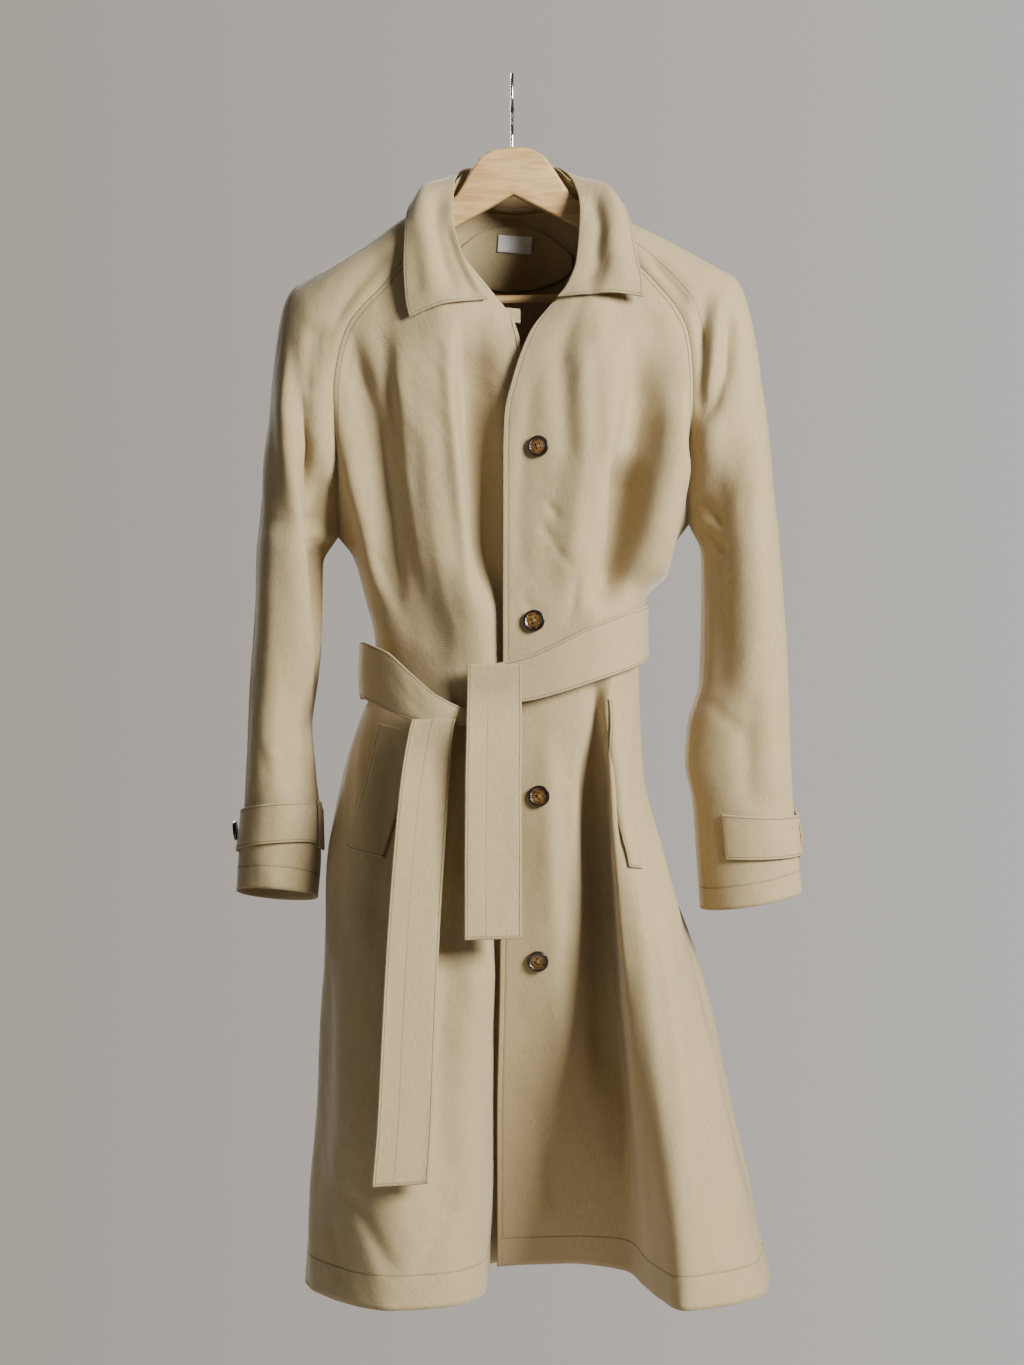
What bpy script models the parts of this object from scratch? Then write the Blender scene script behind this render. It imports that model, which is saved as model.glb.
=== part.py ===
"""A belted raglan trench coat on a wooden hanger, as real pieces at real size.

Metres, +Z up, the front faces -Y. The origin is the crown of the hook, where the rail carries it.
"Right" and "left" are the wearer's. The tables are in millimetres.
"""

import math

import bmesh
import bpy
import numpy as np
from mathutils import Vector

MM = 0.001
CLOTH = 1.6          # wall of one panel
BELT_WALL = 2.6      # belt, straps and welts are two layers
LABEL_WALL = 0.8
LINING_WALL = 1.0
SEAM_GAP = 0.5       # free space between two panels at their seam
NECK_GAP = 0.4       # the panels stop this short of the neck seam, where the collar stands
MOST_PULL = 3.0      # the most that a panel is shortened where it meets the next one at a sharp angle
LAY_GAP = 0.7        # free space between a piece and the panel it lies on

YOKE_ROWS = 9        # mesh rows from the neck to the underarm
SKIRT_ROWS = 17      # mesh rows from the underarm to the hem
ARM_ROWS = 12        # mesh rows from the underarm to the cuff
FRONT_COLUMNS = 11
BACK_COLUMNS = 15
SLEEVE_COLUMNS = 7
UNDERARM = 5         # the row of a panel's table that lies at the underarm
BETWEEN = 6          # points per mesh cell where a piece is laid on a panel
COLLAR_ROWS = 26
STAND_ROWS = 16

COLOURS = {
    "gabardine": (0.56, 0.49, 0.37, 1.0),
    "lining": (0.08, 0.065, 0.055, 1.0),
    "label": (0.8, 0.79, 0.76, 1.0),
    "horn": (0.06, 0.035, 0.02, 1.0),
    "maple": (0.72, 0.54, 0.30, 1.0),
    "chrome": (0.62, 0.62, 0.62, 1.0),
}
ROUGHNESS = {"gabardine": 0.85, "lining": 0.7, "label": 0.7, "horn": 0.35, "maple": 0.45, "chrome": 0.15}

# Seams that two panels share: x, y, z of each point, from the neck to the underarm.
RAGLAN_FRONT_RIGHT = (
    (-66, -30, -158), (-108, -42, -194), (-127, -45, -216), (-149, -48, -239), (-162, -50, -258),
    (-171, -52, -288), (-175, -52, -320), (-174, -50, -354), (-172, -44, -375), (-175, 15, -459))
RAGLAN_BACK_RIGHT = (
    (-56, 24, -118), (-84, 34, -152), (-108, 40, -185), (-130, 44, -215), (-147, 47, -243),
    (-160, 49, -275), (-169, 50, -310), (-174, 48, -350), (-176, 42, -385), (-175, 15, -459))
RAGLAN_FRONT_LEFT = (
    (75, -30, -158), (126, -42, -198), (143, -45, -216), (162, -48, -240), (172, -50, -262),
    (176, -52, -290), (177, -52, -325), (175, -50, -350), (171, -44, -380), (178, 15, -446))
RAGLAN_BACK_LEFT = (
    (65, 24, -118), (95, 34, -152), (119, 40, -185), (142, 44, -215), (158, 47, -243),
    (168, 49, -275), (175, 50, -310), (177, 48, -345), (178, 42, -378), (178, 15, -446))
SIDE_RIGHT = (
    (-175, 15, -459), (-159, 14, -480), (-147, 12, -520), (-137, 10, -561), (-135, 8, -600),
    (-150, 10, -640), (-169, 12, -700), (-184, 15, -783), (-189, 20, -900), (-197, 24, -1050),
    (-204, 26, -1200))
SIDE_LEFT = (
    (178, 15, -446), (155, 13, -478), (135, 12, -520), (126, 9, -561), (127, 8, -600),
    (128, 6, -640), (132, 2, -700), (153, -6, -783), (182, -15, -900), (217, -14, -1050),
    (257, -8, -1200))

# Each row is one level of a panel. Its first column is the point of the raglan seam that the row
# ends on, counted from the neck (none below the underarm), then the height of the row at its first
# track, then x, y of each track: the lengthwise lines of the cloth that make its folds.
# Right front: edge, bend behind the left front, pleat ridge, swell, trough, side roll, side.
FRONT_RIGHT = (
    (0, -249, 1, -50, -24, -52, -38, -50, -46, -47, -53, -43, -58, -38, -63, -33),
    (2, -268, 7, -56, -30, -60, -67, -68, -82, -62, -98, -54, -110, -51, -119, -48),
    (4, -300, 14, -60, -30, -64, -69, -76, -94, -68, -128, -56, -142, -54, -153, -52),
    (6, -335, 45, -62, -20, -64, -64, -80, -88, -72, -122, -58, -158, -58, -168, -55),
    (8, -385, 59, -64, -15, -66, -57, -82, -82, -76, -106, -60, -160, -56, -169, -50),
    (9, -465, 59, -70, -8, -70, -47, -84, -73, -78, -92, -62, -146, -48, -157, -14),
    (None, -480, 59, -71, -7, -72, -44, -85, -70, -79, -89, -63, -141, -48, -153, -12),
    (None, -520, 59, -74, -4, -74, -38, -86, -62, -80, -82, -66, -132, -46, -145, -8),
    (None, -561, 59, -76, -2, -76, -32, -86, -52, -82, -70, -70, -122, -44, -135, -6),
    (None, -600, 59, -76, 0, -76, -30, -85, -50, -83, -68, -76, -118, -42, -133, -4),
    (None, -640, 58, -74, -2, -74, -32, -84, -55, -84, -75, -78, -130, -46, -150, -6),
    (None, -700, 56, -66, -5, -68, -34, -84, -62, -88, -85, -84, -148, -54, -170, -8),
    (None, -783, 54, -52, -12, -57, -34, -84, -68, -94, -95, -92, -158, -62, -184, -10),
    (None, -900, 50, -34, -16, -34, -30, -78, -72, -102, -105, -104, -165, -70, -190, -12),
    (None, -1050, 38, 16, -20, 8, -28, -66, -70, -110, -110, -120, -172, -76, -198, -12),
    (None, -1200, 25, 68, -22, 52, -27, -62, -60, -118, -110, -131, -176, -82, -205, -12))
# Left front: edge, button line, flank, valley, fold over the valley, lobe, side.
FRONT_LEFT = (
    (0, -229, 47, -53, 54, -51, 60, -47, 65, -43, 69, -38, 72, -34, 74, -32),
    (2, -262, 19, -62, 52, -66, 78, -68, 98, -60, 115, -54, 127, -51, 136, -48),
    (4, -305, 2, -70, 40, -75, 83, -80, 118, -64, 140, -58, 155, -56, 165, -53),
    (6, -350, -8, -75, 26, -80, 88, -84, 125, -66, 148, -64, 165, -60, 173, -56),
    (8, -390, -9, -78, 25, -82, 93, -88, 120, -70, 145, -68, 161, -60, 169, -50),
    (9, -465, -9, -82, 25, -85, 93, -90, 106, -78, 132, -68, 150, -50, 161, -16),
    (None, -480, -9, -82, 25, -86, 90, -90, 102, -79, 124, -67, 141, -46, 150, -12),
    (None, -520, -9, -84, 25, -87, 82, -89, 94, -80, 112, -66, 127, -42, 134, -8),
    (None, -561, -9, -86, 25, -88, 74, -89, 84, -80, 104, -64, 118, -40, 125, -6),
    (None, -600, -9, -86, 26, -88, 66, -85, 80, -74, 96, -74, 116, -42, 126, -6),
    (None, -640, -10, -84, 26, -86, 66, -80, 82, -62, 93, -76, 114, -48, 127, -8),
    (None, -700, -11, -78, 27, -80, 64, -70, 86, -46, 95, -82, 117, -58, 131, -10),
    (None, -783, -11, -66, 26, -70, 60, -60, 88, -30, 100, -88, 128, -74, 152, -22),
    (None, -900, -12, -48, 24, -48, 62, -36, 99, -6, 109, -92, 146, -98, 179, -40),
    (None, -1050, -15, -4, 26, 2, 66, 8, 116, 18, 124, -84, 158, -122, 214, -46),
    (None, -1200, -15, 40, 20, 50, 60, 56, 116, 20, 136, -60, 164, -131, 244, -72))
# Back, from the right seam to the left one: side, lobe, middle, lobe, side.
BACK = (
    (0, -130, -45, 32, -25, 40, 0, 44, 28, 40, 52, 32),
    (2, -200, -95, 46, -50, 54, 0, 57, 55, 54, 105, 46),
    (4, -255, -132, 54, -70, 60, 0, 62, 75, 60, 142, 54),
    (6, -318, -155, 58, -85, 66, 0, 64, 88, 66, 160, 58),
    (8, -390, -166, 56, -90, 70, 0, 64, 90, 70, 168, 56),
    (9, -455, -166, 44, -90, 72, 0, 66, 90, 72, 168, 44),
    (None, -480, -152, 43, -84, 71, 0, 65, 84, 71, 148, 43),
    (None, -520, -140, 42, -75, 70, 0, 62, 70, 70, 130, 42),
    (None, -561, -130, 40, -70, 66, 0, 60, 62, 66, 121, 40),
    (None, -600, -128, 40, -66, 64, 0, 58, 60, 64, 122, 38),
    (None, -640, -146, 40, -72, 70, 0, 60, 64, 70, 124, 40),
    (None, -700, -166, 46, -84, 84, 0, 66, 74, 84, 128, 44),
    (None, -783, -180, 52, -95, 104, 0, 78, 88, 104, 154, 44),
    (None, -900, -188, 60, -104, 130, 0, 92, 104, 130, 192, 46),
    (None, -1050, -196, 66, -112, 152, 0, 108, 120, 152, 228, 50),
    (None, -1200, -204, 72, -118, 168, 0, 122, 134, 168, 259, 54))

# Sleeves above the underarm, a row for each point of the raglan seams: x, z of the seam line over
# the shoulder, and the angles round the arm at which the front and back seams sit.
SHOULDER_RIGHT = (
    (-62, -121, 78, 78), (-103, -142, 80, 80), (-142, -168, 82, 82), (-175, -187, 82, 82),
    (-200, -201, 80, 80), (-221, -217, 75, 76), (-230, -245, 65, 68), (-237, -304, 52, 54),
    (-241, -350, 40, 42), (-247, -440, 12, 12))
SHOULDER_LEFT = (
    (70, -121, 78, 78), (114, -146, 80, 80), (150, -163, 82, 82), (180, -179, 82, 82),
    (205, -192, 80, 80), (224, -204, 75, 76), (236, -235, 65, 68), (245, -284, 52, 54),
    (252, -335, 40, 42), (262, -420, 12, 12))
# Below the underarm: x, z of the inner seam, x, z of the outer one, how far the front and the back
# stand out, and how much lower the back hangs than the middle.
ARM_RIGHT = (
    (-190, -488, -251, -475, 70, 68, 2), (-191, -545, -255, -539, 66, 64, 3),
    (-196, -604, -260, -604, 62, 60, 4), (-201, -646, -263, -650, 60, 58, 5),
    (-197, -698, -265, -700, 58, 56, 6), (-193, -737, -268, -745, 55, 54, 8),
    (-192, -780, -273, -785, 53, 52, 9), (-195, -821, -275, -815, 53, 52, 10))
ARM_LEFT = (
    (190, -478, 267, -465, 58, 62, 0), (190, -524, 272, -535, 54, 58, 0),
    (188, -604, 276, -604, 48, 52, 0), (176, -650, 277, -655, 46, 50, -1),
    (174, -685, 278, -690, 46, 48, -2), (181, -722, 281, -728, 45, 47, -3),
    (185, -775, 286, -775, 44, 46, -3), (189, -831, 289, -813, 43, 45, -4))
ARM_SEAM_Y = 6       # the underarm seam lies a little behind the middle of the arm

# Collar, from the right end round the neck to the left end: roll line x, y, z and outer edge x, y, z.
COLLAR_FALL = (
    (-23, -61, -232, -100, -68, -251), (-36, -60, -214, -104, -65, -231),
    (-50, -54, -182, -106, -58, -195), (-58, -37, -145, -105, -42, -157),
    (-57, -2, -104, -99, -5, -129), (-43, 30, -86, -84, 46, -138),
    (0, 50, -82, 0, 70, -152), (40, 30, -84, 88, 46, -138), (60, -2, -104, 108, -5, -129),
    (67, -30, -138, 117, -40, -157), (63, -54, -192, 122, -58, -190),
    (52, -61, -221, 127, -67, -214), (44, -62, -230, 128, -68, -231))
FALL_ROWS = 4
COAT_MIDDLE = (4, 0, -260)
FALL_RISE = 11       # how far the fall stands out between its roll and its edge
# The stand shows inside the back half of the fall, between these of its rows. The x, y, z of its seam
# with the neck, in the same order.
STAND_FROM, STAND_TO = 4, 9
NECK_SEAM = ((-62, -1, -119), (-47, 30, -122), (0, 44, -128.6), (48, 32, -122.6), (69, -1, -119))
NECK_AXIS = (4, 0)   # x, y of the middle of the neck
# Back neck facing, inside the back: x, top z and bottom z of its outline from right to left.
FACING = ((-60, -172, -186), (-48, -160, -196), (-30, -148, -203), (0, -142, -207),
          (30, -148, -203), (48, -160, -196), (62, -172, -186))
FACING_COLUMNS, FACING_ROWS = 13, 4
LABEL_COLUMNS, LABEL_ROWS = 4, 3
LINING_COLUMNS, LINING_ROWS = 9, 7
LABEL_CENTRE_X, LABEL_CENTRE_Z, LABEL_WIDTH, LABEL_HEIGHT = 3, -160, 35, 17
LINING_TOP, LINING_BOTTOM, LINING_HALF_WIDTH = -212, -420, 105
TAB = (-4, -47.6, -246, 24, 14)    # x, y, z of the middle of the inner tab, its width and its height

# Belt: middle line x, y, z, and the height of the band there.
BELT_LEFT = ((-22, -96, -608, 38), (12, -97.5, -603, 43), (40, -98, -594, 48), (74, -93.5, -580, 54),
             (106, -77, -568, 56), (127, -45.5, -560, 55), (134.5, -13.3, -556, 54))
BELT_BACK = ((134.5, -12.7, -556, 54), (137, 20, -556, 54), (124, 56, -560, 54), (70, 78, -572, 54),
             (0, 72, -580, 54), (-70, 78, -586, 54), (-134, 58, -596, 54), (-151, 20, -596, 54),
             (-151, -6.7, -592, 54))
BELT_RIGHT = ((-151, -7.3, -592, 54), (-145, -44, -594, 56), (-122, -78, -604, 56), (-96, -94, -620, 44),
              (-70, -99, -634, 30), (-46, -97.5, -638, 16), (-34, -96, -638, 12))
# Hanging ends: middle x, y, z of the end and its width there.
SHORT_END = ((-17, -100.5, -588, 52), (-17, -100.5, -610, 52), (-17, -107, -650, 53),
             (-18, -111, -700, 53), (-18, -112, -780, 54), (-18, -113, -850, 54))
BAND_STEPS = {"belt_left": 10, "belt_back": 22, "belt_right": 12, "belt_short_end": 10, "belt_long_end": 14}
LONG_END = ((-75, -102.2, -641, 42), (-78, -103, -655, 43), (-82, -105, -690, 46), (-88, -108, -760, 48),
            (-94, -114, -850, 49), (-98, -125, -940, 50), (-101, -135, -1020, 51), (-105, -141, -1078, 52))

# Pocket welts: x, z of the opening edge from top to bottom, and the width of the welt.
POCKET_RIGHT = ((-129, -646), (-136, -682), (-148, -730), (-160, -768))
POCKET_LEFT = ((93, -622), (96, -662), (101, -706), (107, -756), (112, -784))
WELT_WIDTH = 36
WELT_WIDTH_LEFT = 12
WELT_SLANT = 0.22    # drop of a welt's end for each mm of its width
WELT_STEPS = 5
WELT_GAP = 1.0       # the welts stand this clear of the coarse facets of the fronts

# Buttons on the left front: x, z. Their size is a coat button's.
FRONT_BUTTONS = ((25, -379), (21, -548), (27, -717), (25, -880))
BUTTON_RADIUS = 10.4
BUTTON_THICKNESS = 3.6
BUTTON_HOLE_RADIUS = 1.1
BUTTON_HOLE_SPACING = 2.6
STRAP_BUTTON_RADIUS = 9.5
BUTTON_FACE = (      # from the middle to the back: share of the radius, height from the front or the back
    (0, "front", -1.2), (0.62, "front", -1.2), (0.72, "front", 0), (0.9, "front", 0), (1, "front", -1.0),
    (1, "back", 0.8), (0.85, "back", 0), (0, "back", 0))
BUTTON_FACETS = 16
HOLE_FACETS = 6

# Cuff straps: rows of the arm between which the strap lies, as shares of the arm's length, and
# the angles round the arm where it starts and ends.
STRAP_RIGHT = (0.765, 0.875, 35, 352)
STRAP_LEFT = (0.775, 0.885, 62, 300)
STRAP_STEPS = 26
STRAP_LOOP_AT = {"right": (20, 34), "left": (165, 179)}       # degrees round the arm
STRAP_LOOP_MORE = 0.012                                       # share of the arm that a loop is longer by
STRAP_BUTTON_AT = {"right": (178, 182), "left": (285, 289)}
STRAP_GAP = 1.3      # the strap is loose round the sleeve

# Hanger: half of the outline of the wooden body, x and z, top line then lower line.
BODY_TOP = ((0, -71), (16, -73), (31, -80), (40, -92), (54, -114), (61, -122.5), (103, -145.4), (142, -166.4),
            (175, -184.8), (200, -198.8), (213, -211))
BODY_LOW = ((211, -233), (184, -233), (181, -216), (142, -199), (103, -178), (63, -153), (0, -119))
BODY_THICKNESS = 12
BODY_ROUND = 1.5     # radius of the wood's edges
HANGER_TILT = 1.2    # degrees: the hanger hangs a little higher at the wearer's left
BAR_RADIUS, BAR_HALF_LENGTH, BAR_Z = 4.3, 180.6, -223
HOOK_WIRE = 1.5      # radius
HOOK_STEPS = 34
HOOK_ROUTE = (       # y, z of the wire from its tip over the crown down to the collar in the wood
    (24, -27), (26, -14), (22, -3), (13, 1.2), (0, 1.7), (-11, -2), (-18, -12), (-19, -24), (-14, -38),
    (-4, -50), (0, -60), (0, -70.6))


def clear_scene():
    for obj in list(bpy.data.objects):
        bpy.data.objects.remove(obj, do_unlink=True)


def make_collection(name):
    collection = bpy.data.collections.new(name)
    bpy.context.scene.collection.children.link(collection)
    return collection


def make_materials():
    made = {}
    for name, colour in COLOURS.items():
        material = bpy.data.materials.new(name)
        material.use_nodes = True
        shader = material.node_tree.nodes["Principled BSDF"]
        shader.inputs["Base Color"].default_value = colour
        shader.inputs["Roughness"].default_value = ROUGHNESS[name]
        shader.inputs["Metallic"].default_value = 1.0 if name == "chrome" else 0.0
        made[name] = material
    return made


def smooth(knots, values, at):
    """A curve through rows of values at rising knots that never overshoots them."""
    knots, values = np.asarray(knots, float), np.asarray(values, float)
    at = np.clip(np.asarray(at, float), knots[0], knots[-1])
    steps = np.diff(knots)[:, None]
    slopes = np.diff(values, axis=0) / steps
    before, after = slopes[:-1], slopes[1:]
    same = before * after > 0
    total = np.where(same, before + after, 1.0)
    middle = np.where(same, 2 * before * after / total, 0.0)
    slant = np.vstack([slopes[:1], middle, slopes[-1:]])
    i = np.clip(np.searchsorted(knots, at, side="right") - 1, 0, len(knots) - 2)
    h = steps[i]
    t = (at - knots[i])[:, None] / h
    return (values[i] * (1 + 2 * t) * (1 - t) ** 2 + slant[i] * h * t * (1 - t) ** 2
            + values[i + 1] * t * t * (3 - 2 * t) + slant[i + 1] * h * t * t * (t - 1))


def lengths(points):
    """Distance along a line of points, from its first one."""
    return np.concatenate([[0.0], np.cumsum(np.linalg.norm(np.diff(points, axis=0), axis=1))])


def curve(points, count):
    """The smooth line through the points, as count + 1 points evenly apart."""
    points = np.asarray(points, float)
    knots = lengths(points)
    fine = smooth(knots, points, np.linspace(0, knots[-1], 400))
    along = lengths(fine)
    even = np.linspace(0, along[-1], count + 1)
    return np.column_stack([np.interp(even, along, fine[:, k]) for k in range(3)])


def loft(net, row_counts, splits, columns):
    """A grid of points over a net of rows and tracks, its rows spread evenly between the split rows."""
    net = np.asarray(net, float)
    knots = np.concatenate([[0.0], np.cumsum(np.linalg.norm(np.diff(net, axis=0), axis=2).mean(axis=1))])
    stops = [0.0] + [knots[s] for s in splits] + [knots[-1]]
    rows = np.concatenate([np.linspace(a, b, n + 1)[(k > 0):]
                           for k, (a, b, n) in enumerate(zip(stops, stops[1:], row_counts))])
    tracks = np.stack([smooth(knots, net[:, c], rows) for c in range(net.shape[1])], axis=1)
    across = np.concatenate([[0.0], np.cumsum(np.linalg.norm(np.diff(tracks, axis=1), axis=2).mean(axis=0))])
    at = np.linspace(0, across[-1], columns + 1)
    return np.stack([smooth(across, line, at) for line in tracks])


def snap(grid, side, seam, reach=0.3):
    """Draws one side of a grid on to its seam line, and its neighbourhood after it."""
    share = np.linspace(0, 1, grid.shape[1])
    distance = share if side == 0 else 1 - share
    weight = np.clip(1 - distance / reach, 0, 1) ** 2
    shift = seam - grid[:, side]
    return grid + shift[:, None, :] * weight[None, :, None]


def inward(grid, side):
    """Unit directions from one side of a grid towards its inside, and that side's points."""
    edge, inner = {"first": (grid[:, 0], grid[:, 1]), "last": (grid[:, -1], grid[:, -2]),
                   "top": (grid[0], grid[1]), "bottom": (grid[-1], grid[-2])}[side]
    way = inner - edge
    return edge, way / np.maximum(np.linalg.norm(way, axis=1, keepdims=True), 1e-6)


def pull_back(grid, sides, gap):
    """Shortens a grid at the named sides by a fixed amount."""
    grid = grid.copy()
    for side in sides:
        edge, way = inward(grid, side)
        edge += gap * way
    return grid


def part_seams(panels, seams):
    """Shortens the panels at their seams, more where their walls meet at a sharp angle."""
    pulls = {name: {side: np.zeros(len(grid)) for side in ("first", "last")} for name, grid in panels.items()}
    for one, one_side, other, other_side, rows in seams:
        ways = [inward(panels[name], side)[1][rows] for name, side in ((one, one_side), (other, other_side))]
        cosine = np.clip((ways[0] * ways[1]).sum(axis=1), -1, 0.9)
        pull = SEAM_GAP / 2 + CLOTH / 2 / np.tan(np.arccos(cosine) / 2)
        for name, side in ((one, one_side), (other, other_side)):
            pulls[name][side][rows] = np.maximum(pulls[name][side][rows], np.minimum(pull, MOST_PULL))
    parted = {}
    for name, grid in panels.items():
        grid = grid.copy()
        for side, pull in pulls[name].items():
            edge, way = inward(grid, side)
            edge += pull[:, None] * way
        parted[name] = grid
    return parted


def normals(grid):
    """Unit normals of a grid, to its left when its rows run down and its columns run along."""
    down = np.gradient(grid, axis=0)
    along = np.gradient(grid, axis=1)
    cross = np.cross(along, down)
    return cross / np.maximum(np.linalg.norm(cross, axis=2, keepdims=True), 1e-9)


def outward(grid):
    """Normals of a panel of the front, all turned forward."""
    out = normals(grid)
    return np.where(out[:, :, 1:2] > 0, -out, out)


def add_grid(name, grid, thickness, material, collection, offset=0.0):
    """A sheet bent over a grid of points, given its wall by Solidify."""
    rows, columns = grid.shape[0] - 1, grid.shape[1] - 1
    bm = bmesh.new()
    bmesh.ops.create_grid(bm, x_segments=columns, y_segments=rows, size=1.0)
    for vert in bm.verts:
        column = round((vert.co.x + 1) / 2 * columns)
        row = round((1 - vert.co.y) / 2 * rows)
        vert.co = grid[row, column] * MM
    mesh = bpy.data.meshes.new(name)
    bm.to_mesh(mesh)
    bm.free()
    mesh.materials.append(material)
    mesh.shade_smooth()
    obj = bpy.data.objects.new(name, mesh)
    collection.objects.link(obj)
    wall = obj.modifiers.new("wall", "SOLIDIFY")
    wall.thickness = thickness * MM
    wall.offset = offset
    wall.use_even_offset = False
    return obj


def front_net(table, raglan, side):
    """Net of a front: each row runs from the front edge to the raglan or the side seam."""
    net = []
    below = 0
    for row in table:
        point, level, tracks = row[0], row[1], row[2:]
        if point is None:
            below += 1
            end = side[below]
        else:
            end = raglan[point]
        places = list(zip(tracks[0::2], tracks[1::2]))
        flat = np.array(places + [end[:2]], float)
        share = lengths(flat) / lengths(flat)[-1]
        heights = level + (end[2] - level) * share
        net.append(np.column_stack([flat, heights]))
    return np.array(net)


def make_front(table, raglan, side):
    grid = loft(front_net(table, raglan, side), (YOKE_ROWS, SKIRT_ROWS), (UNDERARM,), FRONT_COLUMNS)
    seam = np.vstack([curve(raglan, YOKE_ROWS), curve(side, SKIRT_ROWS)[1:]])
    return snap(grid, -1, seam)


def make_back():
    net = []
    below = 0
    for row in BACK:
        point, level, tracks = row[0], row[1], row[2:]
        if point is None:
            below += 1
            right, left = SIDE_RIGHT[below], SIDE_LEFT[below]
        else:
            right, left = RAGLAN_BACK_RIGHT[point], RAGLAN_BACK_LEFT[point]
        flat = np.array([right[:2]] + list(zip(tracks[0::2], tracks[1::2])) + [left[:2]], float)
        middle = 3
        share = np.abs(np.arange(len(flat)) - middle) / middle
        ends = np.where(np.arange(len(flat)) < middle, right[2], left[2])
        net.append(np.column_stack([flat, level + (ends - level) * share ** 2]))
    grid = loft(net, (YOKE_ROWS, SKIRT_ROWS), (UNDERARM,), BACK_COLUMNS)
    right = np.vstack([curve(RAGLAN_BACK_RIGHT, YOKE_ROWS), curve(SIDE_RIGHT, SKIRT_ROWS)[1:]])
    left = np.vstack([curve(RAGLAN_BACK_LEFT, YOKE_ROWS), curve(SIDE_LEFT, SKIRT_ROWS)[1:]])
    return snap(snap(grid, 0, right), -1, left)


def arm_arc(seam, top, angle, reach, drop, count=7):
    """Points round half of a sleeve from its seam to the seam over the arm, as part of an ellipse."""
    start = math.radians(angle)
    turn = np.linspace(start, math.pi, count)
    share = (math.cos(start) - np.cos(turn)) / (math.cos(start) + 1)
    way = np.sign(reach)
    points = seam + (top - seam) * share[:, None]
    base = seam[1] + reach * math.sin(start)
    points[:, 1] = base + (top[1] - base) * share - reach * np.sin(turn)
    points[:, 2] += way * drop * np.sin(turn)
    return points


def make_sleeve(raglan_front, raglan_back, shoulder, arm):
    """Both halves of a sleeve, each from its underarm seam to the seam over the arm."""
    front, back, over, under = [], [], [], []
    for before, behind, (x, z, angle_front, angle_back) in zip(raglan_front, raglan_back, shoulder):
        top = np.array([x, 0.0, z])
        before, behind = np.array(before, float), np.array(behind, float)
        reach_front = max(-before[1], 0) / math.sin(math.radians(angle_front))
        reach_back = max(behind[1], 0) / math.sin(math.radians(angle_back))
        if angle_front < 20:
            reach_front, reach_back = arm[0][4], arm[0][5]
        front.append(arm_arc(before, top, angle_front, reach_front, 0))
        back.append(arm_arc(behind, top, angle_back, -reach_back, 0))
        over.append(top)
    for x_in, z_in, x_out, z_out, reach_front, reach_back, drop in arm:
        seam, top = np.array([x_in, ARM_SEAM_Y, z_in], float), np.array([x_out, 0.0, z_out])
        front.append(arm_arc(seam, top, 0, reach_front, drop))
        back.append(arm_arc(seam, top, 0, -reach_back, drop))
        over.append(top)
        under.append(seam)
    split = len(shoulder) - 1
    counts = (YOKE_ROWS, ARM_ROWS)
    under = curve([raglan_front[-1]] + under, ARM_ROWS)[1:]
    halves = []
    for net, raglan in ((front, raglan_front), (back, raglan_back)):
        grid = loft(net, counts, (split,), SLEEVE_COLUMNS)
        halves.append(snap(grid, 0, np.vstack([curve(raglan, YOKE_ROWS), under])))
    top_line = (halves[0][:, -1] + halves[1][:, -1]) / 2
    return [snap(half, -1, top_line) for half in halves]


def height_at(grids, x, z, forward=True):
    """y of the outermost of the grids at x, z: the nearest points of each, weighed by distance."""
    found = []
    for grid in grids:
        points = grid.reshape(-1, 3)
        distance = np.hypot(points[:, 0] - x, points[:, 2] - z)
        near = np.argsort(distance)[:4]
        weight = 1 / (distance[near] + 1.0)
        found.append((points[near, 1] * weight).sum() / weight.sum())
    return min(found) if forward else max(found)


def dense(grid, times=BETWEEN):
    """The same grid with more rows and columns between its own."""
    def more(values):
        old = np.arange(len(values))
        new = np.linspace(0, len(values) - 1, (len(values) - 1) * times + 1)
        return smooth(old, values.reshape(len(values), -1), new).reshape((len(new),) + values.shape[1:])
    return more(more(grid).transpose(1, 0, 2)).transpose(1, 0, 2)


def band(stations, count, width_rows=2):
    """A flat band along stations of x, y, z and height, standing on edge."""
    line = curve([s[:3] for s in stations], count)
    knots = lengths(np.array([s[:3] for s in stations], float))
    heights = smooth(knots, [[s[3]] for s in stations], np.linspace(0, knots[-1], count + 1))[:, 0]
    rows = np.linspace(0.5, -0.5, width_rows + 1)
    return np.stack([line + np.column_stack([np.zeros(count + 1), np.zeros(count + 1), r * heights])
                     for r in rows])


def tail(stations, count, width_columns=2):
    """A hanging end of the belt, from stations of x, y, z and width."""
    line = curve([s[:3] for s in stations], count)
    knots = lengths(np.array([s[:3] for s in stations], float))
    widths = smooth(knots, [[s[3]] for s in stations], np.linspace(0, knots[-1], count + 1))[:, 0]
    columns = np.linspace(-0.5, 0.5, width_columns + 1)
    return np.stack([line + np.column_stack([c * widths, np.zeros(count + 1), np.zeros(count + 1)])
                     for c in columns], axis=1)


def tube_grid(front, back):
    """A whole sleeve as one grid: down the arm, and round it from the underarm seam."""
    return np.concatenate([front, back[:, ::-1][:, 1:]], axis=1)


def ring_part(tube, rows, start, end, count, rise):
    """Part of a sleeve's ring between two rows and two angles, moved out of the cloth."""
    fine = dense(tube)
    out = normals(fine)
    last_row, last_column = fine.shape[0] - 1, fine.shape[1] - 1
    top = YOKE_ROWS * BETWEEN
    across = [round(top + r * (last_row - top)) for r in rows]
    around = [round(a / 360 * last_column) for a in np.linspace(start, end, count + 1)]
    centre = fine[across].mean(axis=(0, 1))
    part = fine[np.ix_(across, around)]
    way = out[np.ix_(across, around)]
    if ((part - centre) * way).sum() < 0:
        way = -way
    return part + way * rise


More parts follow.
